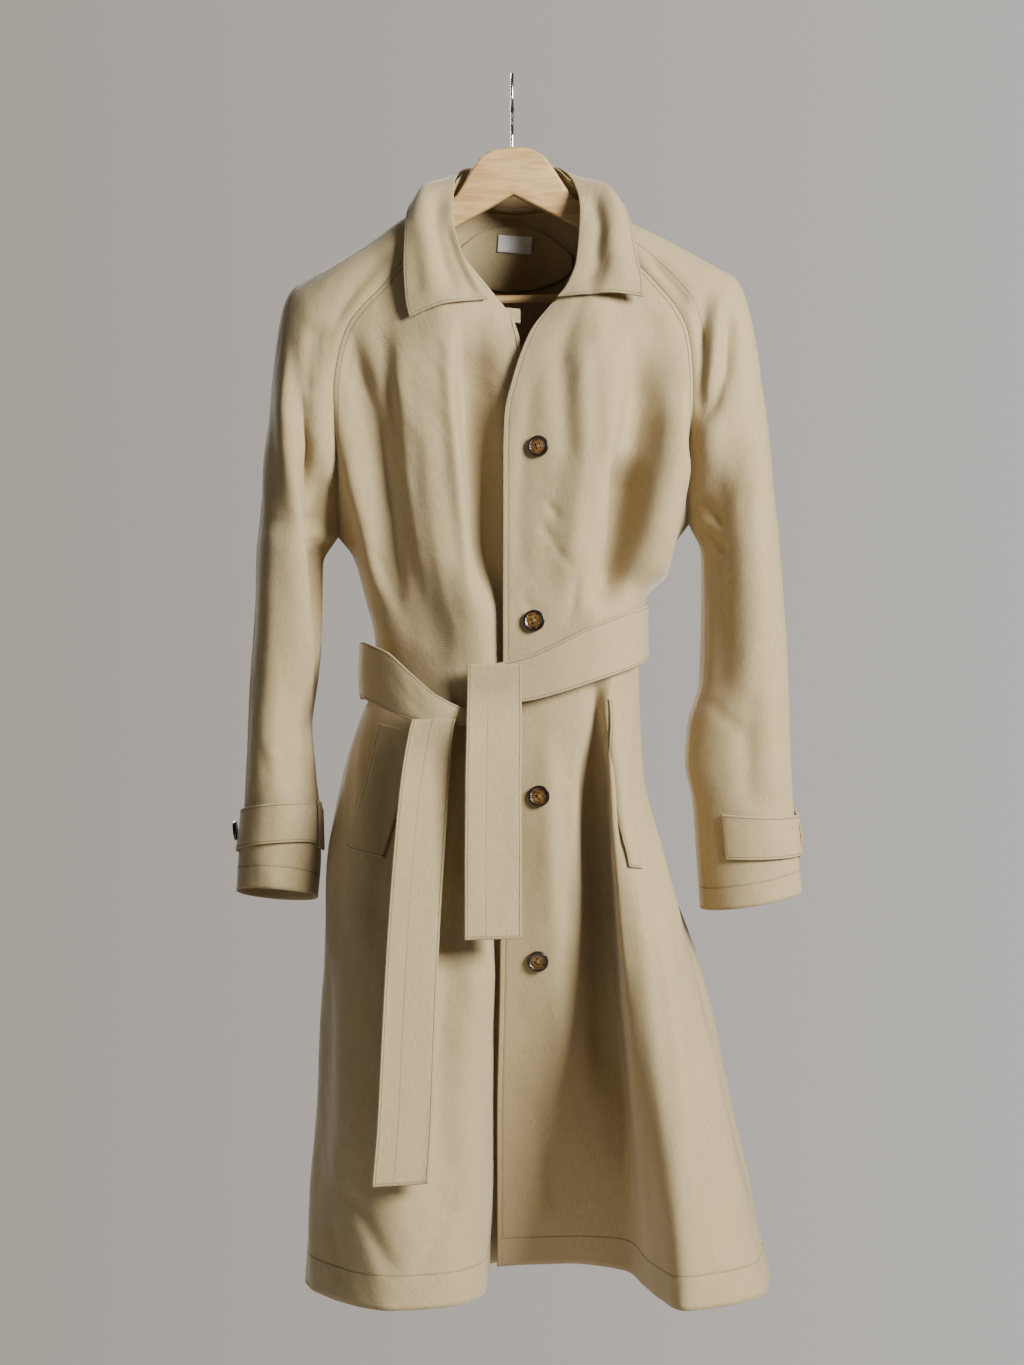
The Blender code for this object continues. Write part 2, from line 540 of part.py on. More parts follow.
def add_button(name, centre, direction, radius, material, collection):
    """A four-hole button with a raised rim, turned and then drilled."""
    side = {"front": BUTTON_THICKNESS / 2, "back": -BUTTON_THICKNESS / 2}
    profile = [(radius * share, side[face] + height) for share, face, height in BUTTON_FACE]
    mesh = bpy.data.meshes.new(name)
    bm = bmesh.new()
    verts = [bm.verts.new((r * MM, 0, z * MM)) for r, z in profile]
    edges = [bm.edges.new(pair) for pair in zip(verts, verts[1:])]
    bmesh.ops.spin(bm, geom=verts + edges, axis=(0, 0, 1), cent=(0, 0, 0), steps=BUTTON_FACETS,
                     angle=math.tau)
    bmesh.ops.remove_doubles(bm, verts=bm.verts, dist=1e-6)
    bmesh.ops.recalc_face_normals(bm, faces=bm.faces)
    bm.to_mesh(mesh)
    bm.free()
    mesh.materials.append(material)
    obj = bpy.data.objects.new(name, mesh)
    collection.objects.link(obj)
    obj.location = [c * MM for c in centre]
    way = np.asarray(direction, float)
    way = way / np.linalg.norm(way)
    obj.rotation_mode = "QUATERNION"
    obj.rotation_quaternion = turn_to(way)
    return obj


def turn_to(way):
    """The turn that takes +Z to the given direction."""
    return Vector((0, 0, 1)).rotation_difference(Vector(way))


def drill(button, cutters):
    """Four holes through a button."""
    for k in range(4):
        angle = math.pi / 4 + k * math.pi / 2
        bm = bmesh.new()
        bmesh.ops.create_cone(bm, cap_ends=True, segments=HOLE_FACETS,
                              radius1=BUTTON_HOLE_RADIUS * MM, radius2=BUTTON_HOLE_RADIUS * MM,
                              depth=3 * BUTTON_THICKNESS * MM)
        for vert in bm.verts:
            vert.co.x += math.cos(angle) * BUTTON_HOLE_SPACING * MM
            vert.co.y += math.sin(angle) * BUTTON_HOLE_SPACING * MM
        mesh = bpy.data.meshes.new(f"{button.name}_drill_{k}")
        bm.to_mesh(mesh)
        bm.free()
        cutter = bpy.data.objects.new(mesh.name, mesh)
        cutter.parent = button
        cutter.hide_render = True
        cutter.display_type = "WIRE"
        cutters.objects.link(cutter)
        hole = button.modifiers.new(f"hole_{k}", "BOOLEAN")
        hole.operation = "DIFFERENCE"
        hole.object = cutter


def add_hanger(materials, collection):
    """The wooden body as an outline of even thickness, its bar between the arms, and the hook."""
    half = list(BODY_TOP + BODY_LOW)
    outline = half + [(-x, z) for x, z in reversed(half[1:-1])]
    flat = bpy.data.curves.new("hanger_body", "CURVE")
    flat.dimensions = "2D"
    flat.fill_mode = "BOTH"
    flat.extrude = (BODY_THICKNESS / 2 - BODY_ROUND) * MM
    flat.bevel_depth = BODY_ROUND * MM
    flat.bevel_resolution = 1
    flat.offset = -BODY_ROUND * MM
    line = flat.splines.new("POLY")
    line.points.add(len(outline) - 1)
    for point, (x, z) in zip(line.points, outline):
        point.co = (x * MM, z * MM, 0, 1)
    line.use_cyclic_u = True
    body = bpy.data.objects.new("hanger_body", flat)
    carrier = bpy.data.objects.new("hanger_tilt", None)
    carrier.location = (0, 0, BODY_TOP[0][1] * MM)
    carrier.rotation_euler = (0, -math.radians(HANGER_TILT), 0)
    collection.objects.link(carrier)
    body.parent = carrier
    body.location = (0, 0, -BODY_TOP[0][1] * MM)
    body.rotation_euler = (math.pi / 2, 0, 0)
    collection.objects.link(body)
    flat.materials.append(materials["maple"])

    bm = bmesh.new()
    bmesh.ops.create_cone(bm, cap_ends=True, segments=16, radius1=BAR_RADIUS * MM,
                          radius2=BAR_RADIUS * MM, depth=2 * BAR_HALF_LENGTH * MM)
    mesh = bpy.data.meshes.new("hanger_bar")
    bm.to_mesh(mesh)
    bm.free()
    mesh.materials.append(materials["maple"])
    bar = bpy.data.objects.new("hanger_bar", mesh)
    bar.rotation_euler = (0, math.pi / 2, 0)
    bar.parent = carrier
    bar.location = (0, 0, (BAR_Z - BODY_TOP[0][1]) * MM)
    collection.objects.link(bar)

    wire = bpy.data.curves.new("hanger_hook", "CURVE")
    wire.dimensions = "3D"
    wire.bevel_depth = HOOK_WIRE * MM
    wire.bevel_resolution = 2
    wire.use_fill_caps = True
    route = curve([(0, y, z) for y, z in HOOK_ROUTE], HOOK_STEPS)
    spline = wire.splines.new("POLY")
    spline.points.add(len(route) - 1)
    for point, place in zip(spline.points, route):
        point.co = (*(place * MM), 1)
    hook = bpy.data.objects.new("hanger_hook", wire)
    wire.materials.append(materials["chrome"])
    collection.objects.link(hook)


def welt(front, opening, width, count):
    """A pocket welt: a strip beside the opening edge, lying on the front."""
    fine = dense(front)
    line = curve([(x, 0, z) for x, z in opening], count)
    columns = []
    for share in np.linspace(0, 1, 4):
        x = line[:, 0] + width * share
        z = line[:, 2] - WELT_SLANT * width * share
        y = [height_at([fine], a, b) for a, b in zip(x, z)]
        columns.append(np.column_stack([x, y, z]))
    grid = np.stack(columns, axis=1)
    return grid + outward(grid) * (CLOTH / 2 + BELT_WALL / 2 + WELT_GAP)


def main():
    clear_scene()
    materials = make_materials()
    coat = make_collection("trench_coat_on_hanger")
    cutters = make_collection("cutters")
    cloth = materials["gabardine"]

    right, left, back = (make_front(FRONT_RIGHT, RAGLAN_FRONT_RIGHT, SIDE_RIGHT),
                         make_front(FRONT_LEFT, RAGLAN_FRONT_LEFT, SIDE_LEFT), make_back())
    sleeves = {"right": make_sleeve(RAGLAN_FRONT_RIGHT, RAGLAN_BACK_RIGHT, SHOULDER_RIGHT, ARM_RIGHT),
               "left": make_sleeve(RAGLAN_FRONT_LEFT, RAGLAN_BACK_LEFT, SHOULDER_LEFT, ARM_LEFT)}
    panels = {"front_right": right, "front_left": left, "back": back}
    seams = []
    yoke, skirt, arm = slice(0, YOKE_ROWS + 1), slice(YOKE_ROWS, None), slice(YOKE_ROWS, None)
    for side, back_side in (("right", "first"), ("left", "last")):
        front_half, back_half = f"sleeve_{side}_front", f"sleeve_{side}_back"
        panels[front_half], panels[back_half] = sleeves[side]
        seams += [(f"front_{side}", "last", front_half, "first", yoke),
                  ("back", back_side, back_half, "first", yoke),
                  (f"front_{side}", "last", "back", back_side, skirt),
                  (front_half, "first", back_half, "first", arm),
                  (front_half, "last", back_half, "last", slice(None))]
    for name, grid in part_seams(panels, seams).items():
        add_grid(name, pull_back(grid, ["top"], NECK_GAP), CLOTH, cloth, coat)
    add_collar(materials, coat, back)
    add_belt(cloth, coat)
    for side, front, opening, width in (("right", right, POCKET_RIGHT, WELT_WIDTH),
                                        ("left", left, POCKET_LEFT, WELT_WIDTH_LEFT)):
        add_grid(f"pocket_welt_{side}", welt(front, opening, width, WELT_STEPS), BELT_WALL, cloth, coat)
    add_cuffs(sleeves, materials, coat, cutters)
    fine = dense(left)
    out = outward(fine)
    for number, (x, z) in enumerate(FRONT_BUTTONS, 1):
        nearest = np.argmin(np.hypot(fine[:, :, 0] - x, fine[:, :, 2] - z))
        seat, way = fine.reshape(-1, 3)[nearest], out.reshape(-1, 3)[nearest]
        centre = seat + way * (CLOTH / 2 + BUTTON_THICKNESS / 2 + SEAM_GAP)
        button = add_button(f"front_button_{number}", centre, way, BUTTON_RADIUS, materials["horn"], coat)
        drill(button, cutters)
    add_hanger(materials, coat)


def add_collar(materials, coat, back):
    """Fall, stand, facing, label, lining and inner tab."""
    cloth = materials["gabardine"]
    rolls = np.array([r[:3] for r in COLLAR_FALL], float)
    edges = np.array([r[3:] for r in COLLAR_FALL], float)
    middle = (rolls + edges) / 2
    way = middle - np.array(COAT_MIDDLE)
    middle += FALL_RISE * way / np.linalg.norm(way, axis=1, keepdims=True)
    net = np.stack([rolls, middle, edges])
    fall = loft(net.transpose(1, 0, 2), (COLLAR_ROWS,), (), FALL_ROWS)
    add_grid("collar_fall", fall, CLOTH, cloth, coat)
    low, high = np.array(NECK_SEAM, float), rolls[STAND_FROM:STAND_TO].copy()
    way = np.array(NECK_AXIS) - high[:, :2]
    high[:, :2] += (CLOTH + SEAM_GAP) * way / np.linalg.norm(way, axis=1, keepdims=True)
    stand = loft(np.stack([low, high]).transpose(1, 0, 2), (STAND_ROWS,), (), 1)
    add_grid("collar_stand", stand, CLOTH, cloth, coat)

    fine = dense(back)
    step = CLOTH + 2 * LAY_GAP

    def inside(x, z, layers):
        return height_at([fine], x, z) - layers * step

    outline = np.array(FACING, float)
    xs = np.linspace(outline[0, 0], outline[-1, 0], FACING_COLUMNS)
    facing = np.array([[(x, inside(x, top + (bottom - top) * s, 1), top + (bottom - top) * s)
                        for s in np.linspace(0, 1, FACING_ROWS)]
                       for x, (top, bottom) in zip(xs, smooth(outline[:, 0], outline[:, 1:], xs))])
    add_grid("neck_facing", facing, CLOTH, cloth, coat)
    xs = LABEL_CENTRE_X + np.linspace(-0.5, 0.5, LABEL_COLUMNS) * LABEL_WIDTH
    zs = LABEL_CENTRE_Z + np.linspace(0.5, -0.5, LABEL_ROWS) * LABEL_HEIGHT
    lift = CLOTH / 2 + LABEL_WALL / 2 + LAY_GAP
    label = np.array([[(x, inside(x, z, 1) - lift, z) for z in zs] for x in xs])
    add_grid("neck_label", label, LABEL_WALL, materials["label"], coat)
    xs = np.linspace(-1, 1, LINING_COLUMNS) * LINING_HALF_WIDTH
    zs = np.linspace(LINING_TOP, LINING_BOTTOM, LINING_ROWS)
    lining = np.array([[(x, inside(x, z, 1), z) for z in zs] for x in xs])
    add_grid("back_lining", lining, LINING_WALL, materials["lining"], coat)
    x, y, z, width, height = TAB
    tab = np.array([[(x + a * width, y, z + b * height) for b in (0.5, -0.5)] for a in (-0.5, 0, 0.5)])
    add_grid("neck_tab", tab, BELT_WALL, cloth, coat)


def add_belt(cloth, coat):
    for name, stations in (("belt_left", BELT_LEFT), ("belt_back", BELT_BACK), ("belt_right", BELT_RIGHT)):
        add_grid(name, band(stations, BAND_STEPS[name]).transpose(1, 0, 2), BELT_WALL, cloth, coat)
    for name, stations in (("belt_short_end", SHORT_END), ("belt_long_end", LONG_END)):
        add_grid(name, tail(stations, BAND_STEPS[name]), BELT_WALL, cloth, coat)


def add_cuffs(sleeves, materials, coat, cutters):
    """Strap, its loop and its button at each cuff."""
    cloth = materials["gabardine"]
    rise = CLOTH / 2 + BELT_WALL / 2 + STRAP_GAP
    for side, strap in (("right", STRAP_RIGHT), ("left", STRAP_LEFT)):
        tube = tube_grid(*sleeves[side])
        low, high, start, end = strap
        rows = np.linspace(low, high, 3)
        grid = ring_part(tube, rows, start, end, STRAP_STEPS, rise)
        add_grid(f"cuff_strap_{side}", grid, BELT_WALL, cloth, coat)
        loop_rows = (low - STRAP_LOOP_MORE, (low + high) / 2, high + STRAP_LOOP_MORE)
        over_strap = rise + BELT_WALL / 2 + CLOTH / 2 + SEAM_GAP
        loop = ring_part(tube, loop_rows, *STRAP_LOOP_AT[side], 2, over_strap)
        add_grid(f"strap_loop_{side}", loop, CLOTH, cloth, coat)
        lift = rise + BELT_WALL / 2 + BUTTON_THICKNESS / 2 + LAY_GAP
        centre, foot = (ring_part(tube, rows, *STRAP_BUTTON_AT[side], 2, r)[1, 1] for r in (lift, 0))
        button = add_button(f"strap_button_{side}", centre, centre - foot, STRAP_BUTTON_RADIUS,
                            materials["horn"], coat)
        drill(button, cutters)


main()
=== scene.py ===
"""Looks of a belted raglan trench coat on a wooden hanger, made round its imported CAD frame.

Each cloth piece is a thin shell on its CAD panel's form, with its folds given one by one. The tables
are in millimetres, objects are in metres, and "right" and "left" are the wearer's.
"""

import functools
import math

import bmesh
import bpy
import numpy as np
from bpy.props import FloatProperty, FloatVectorProperty, PointerProperty
from mathutils import Matrix, Vector, noise


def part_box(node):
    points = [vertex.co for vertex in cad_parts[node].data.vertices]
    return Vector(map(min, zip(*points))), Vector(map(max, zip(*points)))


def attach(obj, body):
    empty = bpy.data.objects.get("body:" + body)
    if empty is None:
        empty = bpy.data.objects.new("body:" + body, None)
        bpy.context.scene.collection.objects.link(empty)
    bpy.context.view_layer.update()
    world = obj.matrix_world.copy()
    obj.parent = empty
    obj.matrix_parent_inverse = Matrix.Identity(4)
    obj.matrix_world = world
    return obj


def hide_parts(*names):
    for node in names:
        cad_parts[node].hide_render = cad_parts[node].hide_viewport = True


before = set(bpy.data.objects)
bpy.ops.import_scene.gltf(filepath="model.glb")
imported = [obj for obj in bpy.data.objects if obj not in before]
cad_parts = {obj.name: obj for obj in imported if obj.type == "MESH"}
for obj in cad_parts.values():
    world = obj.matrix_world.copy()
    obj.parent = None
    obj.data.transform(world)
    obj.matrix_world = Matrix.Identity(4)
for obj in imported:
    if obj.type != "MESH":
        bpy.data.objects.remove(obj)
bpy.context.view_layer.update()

bl_info = {
    "name": "Trench coat on a hanger",
    "version": (1, 0, 0),
    "blender": (4, 5, 0),
    "location": "View3D > Sidebar > Coat",
    "description": "Makes the cloth, trimmings and hanger of a trench coat round its CAD frame",
    "category": "Object",
}

MM = 0.001

CLOTH = 1.3          # wall of one panel
BELT_WALL = 2.2      # two layers pressed together
SEAM_TRIM = 0.15     # each panel stops this short of its seam
COAT_MIDDLE = (4, 10, -560)

PANEL_ROWS = 230     # mesh rows of a front or the back
YOKE_SHARE = 0.34    # share of them above the underarm
FRONT_COLUMNS, BACK_COLUMNS, SLEEVE_COLUMNS, SLEEVE_ROWS = 104, 140, 46, 190
LOFT_COLUMNS = 150   # columns of the smooth form that the panels' own columns are read from
EDGE_STEPS = (0, 1.1, 2.4, 3.8, 5.2, 7.0, 10.0)   # distances of the first columns from an edge
SEAM_FADE = 16       # folds die out this near to a seam that two panels share
SEAM_REACH = 20      # beyond this distance from a seam the cloth is plain
STITCH_INSET = 5.0   # from a seam to the stitching beside it
EDGE_INSET = 2.4     # from a collar's, belt's or strap's edge to its stitching
HEM_DEPTH = 32       # cloth turned up at the hem
CUFF_HEM_DEPTH = 22
STITCH_SHARE = 0.72  # of the stitch length, that the thread shows
STITCH_WIDTH, STITCH_HEIGHT, STITCH_LIFT = 0.62, 0.5, 0.05
SHORTEST_STITCH = 0.5
PRESSED_LINE = 4.9   # distance from a seam that looks like a line pressed into the cloth

# Waves of cloth after long wear: across, down and height of each, and the steps between their places in the
# noise.
CRUMPLE = ((46, 150, 2.2), (22, 60, 0.95), (13, 19, 0.35))
SEED_STEP, WAVE_STEP = 17.3, 5.1
FOLD_ENDS = 0.22     # share of a fold's line in which it rises at each end

# Seams that two panels share: x, y, z of each point, from the neck to the underarm.
RAGLAN_FRONT_RIGHT = (
    (-66, -30, -158), (-108, -42, -194), (-127, -45, -216), (-149, -48, -239), (-162, -50, -258),
    (-171, -52, -288), (-175, -52, -320), (-174, -50, -354), (-172, -44, -375), (-175, 15, -459))
RAGLAN_BACK_RIGHT = (
    (-56, 24, -118), (-84, 34, -152), (-108, 40, -185), (-130, 44, -215), (-147, 47, -243),
    (-160, 49, -275), (-169, 50, -310), (-174, 48, -350), (-176, 42, -385), (-175, 15, -459))
RAGLAN_FRONT_LEFT = (
    (75, -30, -158), (126, -42, -198), (143, -45, -216), (162, -48, -240), (172, -50, -262),
    (176, -52, -290), (177, -52, -325), (175, -50, -350), (171, -44, -380), (178, 15, -446))
RAGLAN_BACK_LEFT = (
    (65, 24, -118), (95, 34, -152), (119, 40, -185), (142, 44, -215), (158, 47, -243),
    (168, 49, -275), (175, 50, -310), (177, 48, -345), (178, 42, -378), (178, 15, -446))
SIDE_RIGHT = (
    (-175, 15, -459), (-159, 14, -480), (-147, 12, -520), (-137, 10, -561), (-135, 8, -600),
    (-150, 10, -640), (-169, 12, -700), (-184, 15, -783), (-189, 20, -900), (-197, 24, -1050),
    (-204, 26, -1200))
SIDE_LEFT = (
    (178, 15, -446), (155, 13, -478), (135, 12, -520), (126, 9, -561), (127, 8, -600),
    (128, 6, -640), (132, 2, -700), (153, -6, -783), (182, -15, -900), (217, -14, -1050),
    (257, -8, -1200))

# Rows of a panel: the raglan point it ends on, counted from the neck (none below the underarm), the
# height at its first track, then x, y of each track: the lengthwise lines that make its deep folds.
UNDERARM = 5
FRONT_RIGHT = (
    (0, -249, 1, -50, -24, -52, -38, -50, -46, -47, -53, -43, -58, -38, -63, -33),
    (2, -268, 7, -56, -30, -60, -67, -68, -82, -62, -98, -54, -110, -51, -119, -48),
    (4, -300, 14, -60, -30, -64, -69, -76, -94, -68, -128, -56, -142, -54, -153, -52),
    (6, -335, 45, -62, -20, -64, -64, -80, -88, -72, -122, -58, -158, -58, -168, -55),
    (8, -385, 59, -64, -15, -66, -57, -82, -82, -76, -106, -60, -160, -56, -169, -50),
    (9, -465, 59, -70, -8, -70, -47, -84, -73, -78, -92, -62, -146, -48, -157, -14),
    (None, -480, 59, -71, -7, -72, -44, -85, -70, -79, -89, -63, -141, -48, -153, -12),
    (None, -520, 59, -74, -4, -74, -38, -86, -62, -80, -82, -66, -132, -46, -145, -8),
    (None, -561, 59, -76, -2, -76, -32, -86, -52, -82, -70, -70, -122, -44, -135, -6),
    (None, -600, 59, -76, 0, -76, -30, -85, -50, -83, -68, -76, -118, -42, -133, -4),
    (None, -640, 58, -74, -2, -74, -32, -84, -55, -84, -75, -78, -130, -46, -150, -6),
    (None, -700, 56, -66, -5, -68, -34, -84, -62, -88, -85, -84, -148, -54, -170, -8),
    (None, -783, 54, -52, -12, -57, -34, -84, -68, -94, -95, -92, -158, -62, -184, -10),
    (None, -900, 50, -34, -16, -34, -30, -78, -72, -102, -105, -104, -165, -70, -190, -12),
    (None, -1050, 38, 16, -20, 8, -28, -66, -70, -110, -110, -120, -172, -76, -198, -12),
    (None, -1200, 25, 68, -22, 52, -27, -62, -60, -118, -110, -131, -176, -82, -205, -12))
FRONT_LEFT = (
    (0, -229, 47, -53, 54, -51, 60, -47, 65, -43, 69, -38, 72, -34, 74, -32),
    (2, -262, 19, -62, 52, -66, 78, -68, 98, -60, 115, -54, 127, -51, 136, -48),
    (4, -305, 2, -70, 40, -75, 83, -80, 118, -64, 140, -58, 155, -56, 165, -53),
    (6, -350, -8, -75, 26, -80, 88, -84, 125, -66, 148, -64, 165, -60, 173, -56),
    (8, -390, -9, -78, 25, -82, 93, -88, 120, -70, 145, -68, 161, -60, 169, -50),
    (9, -465, -9, -82, 25, -85, 93, -90, 106, -78, 132, -68, 150, -50, 161, -16),
    (None, -480, -9, -82, 25, -86, 90, -90, 102, -79, 124, -67, 141, -46, 150, -12),
    (None, -520, -9, -84, 25, -87, 82, -89, 94, -80, 112, -66, 127, -42, 134, -8),
    (None, -561, -9, -86, 25, -88, 74, -89, 84, -80, 104, -64, 118, -40, 125, -6),
    (None, -600, -9, -86, 26, -88, 66, -85, 80, -74, 96, -74, 116, -42, 126, -6),
    (None, -640, -10, -84, 26, -86, 66, -80, 82, -62, 93, -76, 114, -48, 127, -8),
    (None, -700, -11, -78, 27, -80, 64, -70, 86, -46, 95, -82, 117, -58, 131, -10),
    (None, -783, -11, -66, 26, -70, 60, -60, 88, -30, 100, -88, 128, -74, 152, -22),
    (None, -900, -12, -48, 24, -48, 62, -36, 99, -6, 109, -92, 146, -98, 179, -40),
    (None, -1050, -15, -4, 26, 2, 66, 8, 116, 18, 124, -84, 158, -122, 214, -46),
    (None, -1200, -15, 40, 20, 50, 60, 56, 116, 20, 136, -60, 164, -131, 244, -72))
BACK = (
    (0, -130, -45, 32, -25, 40, 0, 44, 28, 40, 52, 32),
    (2, -200, -95, 46, -50, 54, 0, 57, 55, 54, 105, 46),
    (4, -255, -132, 54, -70, 60, 0, 62, 75, 60, 142, 54),
    (6, -318, -155, 58, -85, 66, 0, 64, 88, 66, 160, 58),
    (8, -390, -166, 56, -90, 70, 0, 64, 90, 70, 168, 56),
    (9, -455, -166, 44, -90, 72, 0, 66, 90, 72, 168, 44),
    (None, -480, -152, 43, -84, 71, 0, 65, 84, 71, 148, 43),
    (None, -520, -140, 42, -75, 70, 0, 62, 70, 70, 130, 42),
    (None, -561, -130, 40, -70, 66, 0, 60, 62, 66, 121, 40),
    (None, -600, -128, 40, -66, 64, 0, 58, 60, 64, 122, 38),
    (None, -640, -146, 40, -72, 70, 0, 60, 64, 70, 124, 40),
    (None, -700, -166, 46, -84, 84, 0, 66, 74, 84, 128, 44),
    (None, -783, -180, 52, -95, 104, 0, 78, 88, 104, 154, 44),
    (None, -900, -188, 60, -104, 130, 0, 92, 104, 130, 192, 46),
    (None, -1050, -196, 66, -112, 152, 0, 108, 120, 152, 228, 50),
    (None, -1200, -204, 72, -118, 168, 0, 122, 134, 168, 259, 54))

# Sleeves: x, z of the seam over the shoulder and the angles of the front and back seams round the arm,
# then, below the underarm, x, z of the inner and the outer seam, the reach to the front and to the
# back, and how much lower the back hangs.
SHOULDER_RIGHT = (
    (-62, -121, 78, 78), (-103, -142, 80, 80), (-142, -168, 82, 82), (-175, -187, 82, 82),
    (-200, -201, 80, 80), (-221, -217, 75, 76), (-230, -245, 65, 68), (-237, -304, 52, 54),
    (-241, -350, 40, 42), (-247, -440, 12, 12))
SHOULDER_LEFT = (
    (70, -121, 78, 78), (114, -146, 80, 80), (150, -163, 82, 82), (180, -179, 82, 82),
    (205, -192, 80, 80), (224, -204, 75, 76), (236, -235, 65, 68), (245, -284, 52, 54),
    (252, -335, 40, 42), (262, -420, 12, 12))
ARM_RIGHT = (
    (-190, -488, -251, -475, 70, 68, 2), (-191, -545, -255, -539, 66, 64, 3),
    (-196, -604, -260, -604, 62, 60, 4), (-201, -646, -263, -650, 60, 58, 5),
    (-197, -698, -265, -700, 58, 56, 6), (-193, -737, -268, -745, 55, 54, 8),
    (-192, -780, -273, -785, 53, 52, 9), (-195, -821, -275, -815, 53, 52, 10))
ARM_LEFT = (
    (190, -478, 267, -465, 58, 62, 0), (190, -524, 272, -535, 54, 58, 0),
    (188, -604, 276, -604, 48, 52, 0), (176, -650, 277, -655, 46, 50, -1),
    (174, -685, 278, -690, 46, 48, -2), (181, -722, 281, -728, 45, 47, -3),
    (185, -775, 286, -775, 44, 46, -3), (189, -831, 289, -813, 43, 45, -4))
ARM_SEAM_Y = 6
# Stitched lines down a sleeve's front half: from which seam, and how far.
SLEEVE_LINES = {"sleeve_right_front": ("last", 26), "sleeve_left_front": ("first", 20)}
BARE_ANGLE = 20      # below this angle of its seams the sleeve is a whole tube
SLEEVE_YOKE = 9 / 21     # share of a sleeve's rows above the underarm

# Collar, from the right end round the neck: roll line x, y, z and outer edge x, y, z.
COLLAR_FALL = (
    (-23, -61, -232, -100, -68, -251), (-36, -60, -214, -104, -65, -231),
    (-50, -54, -182, -106, -58, -195), (-58, -37, -145, -105, -42, -157),
    (-57, -2, -104, -99, -5, -129), (-43, 30, -86, -84, 46, -138),
    (0, 50, -82, 0, 70, -152), (40, 30, -84, 88, 46, -138), (60, -2, -104, 108, -5, -129),
    (67, -30, -138, 117, -40, -157), (63, -54, -192, 122, -58, -190),
    (52, -61, -221, 127, -67, -214), (44, -62, -230, 128, -68, -231))
FALL_CENTRE = (4, 0, -260)
FALL_RISE = 11       # the fall stands out this much between its roll and its edge
FALL_ROWS, FALL_COLUMNS, FALL_WALL = 150, 34, 2.0
STAND_BEHIND = 2.1   # the stand's top edge lies this far inside the roll line
STAND_FROM, STAND_TO = 4, 9
NECK_SEAM = ((-62, -1, -119), (-47, 30, -122), (0, 44, -128.6), (48, 32, -122.6), (69, -1, -119))
NECK_AXIS = (4, 0)
INSIDE_STEP = 3.0    # from the back's middle to a layer inside it
LABEL_STEP = 1.8     # from the facing's middle to the label's
# Back neck facing: x, then z of its upper and lower edge. Label: middle, size and tilt in degrees.
FACING = ((-60, -172, -186), (-48, -160, -196), (-30, -148, -203), (0, -142, -207),
          (30, -148, -203), (48, -160, -196), (62, -172, -186))
LABEL_CENTRE_X, LABEL_CENTRE_Z, LABEL_WIDTH, LABEL_HEIGHT, LABEL_TILT = 3, -160, 35, 17, -4
LINING_TOP, LINING_BOTTOM, LINING_HALF_WIDTH = -212, -420, 105
TAB = (-4, -47.6, -246, 24, 14)      # middle x, y, z, width and height
TAB_WALL, TAB_INSET = 1.8, 1.5
LABEL_WALL, LINING_WALL = 0.6, 0.8

# Belt: x, y, z of the middle line, and the band's height there, or the width of a hanging end.
BELT_LEFT = ((-22, -96, -608, 38), (12, -97.5, -603, 43), (40, -98, -594, 48), (74, -93.5, -580, 54),
             (106, -77, -568, 56), (127, -45.5, -560, 55), (134.5, -13.3, -556, 54))
BELT_BACK = ((134.5, -12.7, -556, 54), (137, 20, -556, 54), (124, 56, -560, 54), (70, 78, -572, 54),
             (0, 72, -580, 54), (-70, 78, -586, 54), (-134, 58, -596, 54), (-151, 20, -596, 54),
             (-151, -6.7, -592, 54))
BELT_RIGHT = ((-151, -7.3, -592, 54), (-145, -44, -594, 56), (-122, -78, -604, 56), (-96, -94, -620, 44),
              (-70, -99, -634, 30), (-46, -97.5, -638, 16), (-34, -96, -638, 12))
SHORT_END = ((-17, -100.5, -588, 52), (-17, -100.5, -610, 52), (-17, -107, -650, 53),
             (-18, -111, -700, 53), (-18, -112, -780, 54), (-18, -113, -850, 54))
LONG_END = ((-75, -102.2, -641, 42), (-78, -103, -655, 43), (-82, -105, -690, 46), (-88, -108, -760, 48),
            (-94, -114, -850, 49), (-98, -125, -940, 50), (-101, -135, -1020, 51), (-105, -141, -1078, 52))
BELT_JOIN = 0.36     # share of the width at which a hanging end's lengthwise seam lies
END_LEAN = 15        # how far the wearer's right edge of a hanging end stands forward
BELT_BAND = 30       # half of the height in which folds are pressed flat by the belt
BELT_EASE = 30       # height over which they come back
BAND_COLUMNS = 26    # mesh columns of a belt band or a strap

# Pockets: x, z of points down each opening, the welts' widths and their slant.
POCKET_RIGHT = ((-129, -646), (-136, -682), (-148, -730), (-160, -768))
POCKET_LEFT = ((93, -622), (96, -662), (101, -706), (107, -756), (112, -784))
WELT_WIDTH_RIGHT, WELT_WIDTH_LEFT, WELT_SLANT = 36, 12, 0.22
WELT_GAPE = {"right": 1.5, "left": 4}    # how far the welt's open edge stands off halfway down
FRONT_BUTTONS = ((25, -379), (21, -548), (27, -717), (25, -880))
# Cuff straps: two shares of the arm below the underarm, and two angles round it from that seam.
STRAP_RIGHT = (0.765, 0.875, 35, 352)
STRAP_LEFT = (0.775, 0.885, 62, 300)
STRAP_LOOP_AT = {"right": (20, 34), "left": (165, 179)}      # two angles
STRAP_LOOP_MORE = 0.012      # the loop passes the strap by this share, above and below
LOOP_WALL, LOOP_INSET = 1.8, 1.6
STRAP_GAP = 1.3
STRAP_EASE = 0.05    # share of the arm over which folds come back beside a strap
LOOP_GAP = 0.4

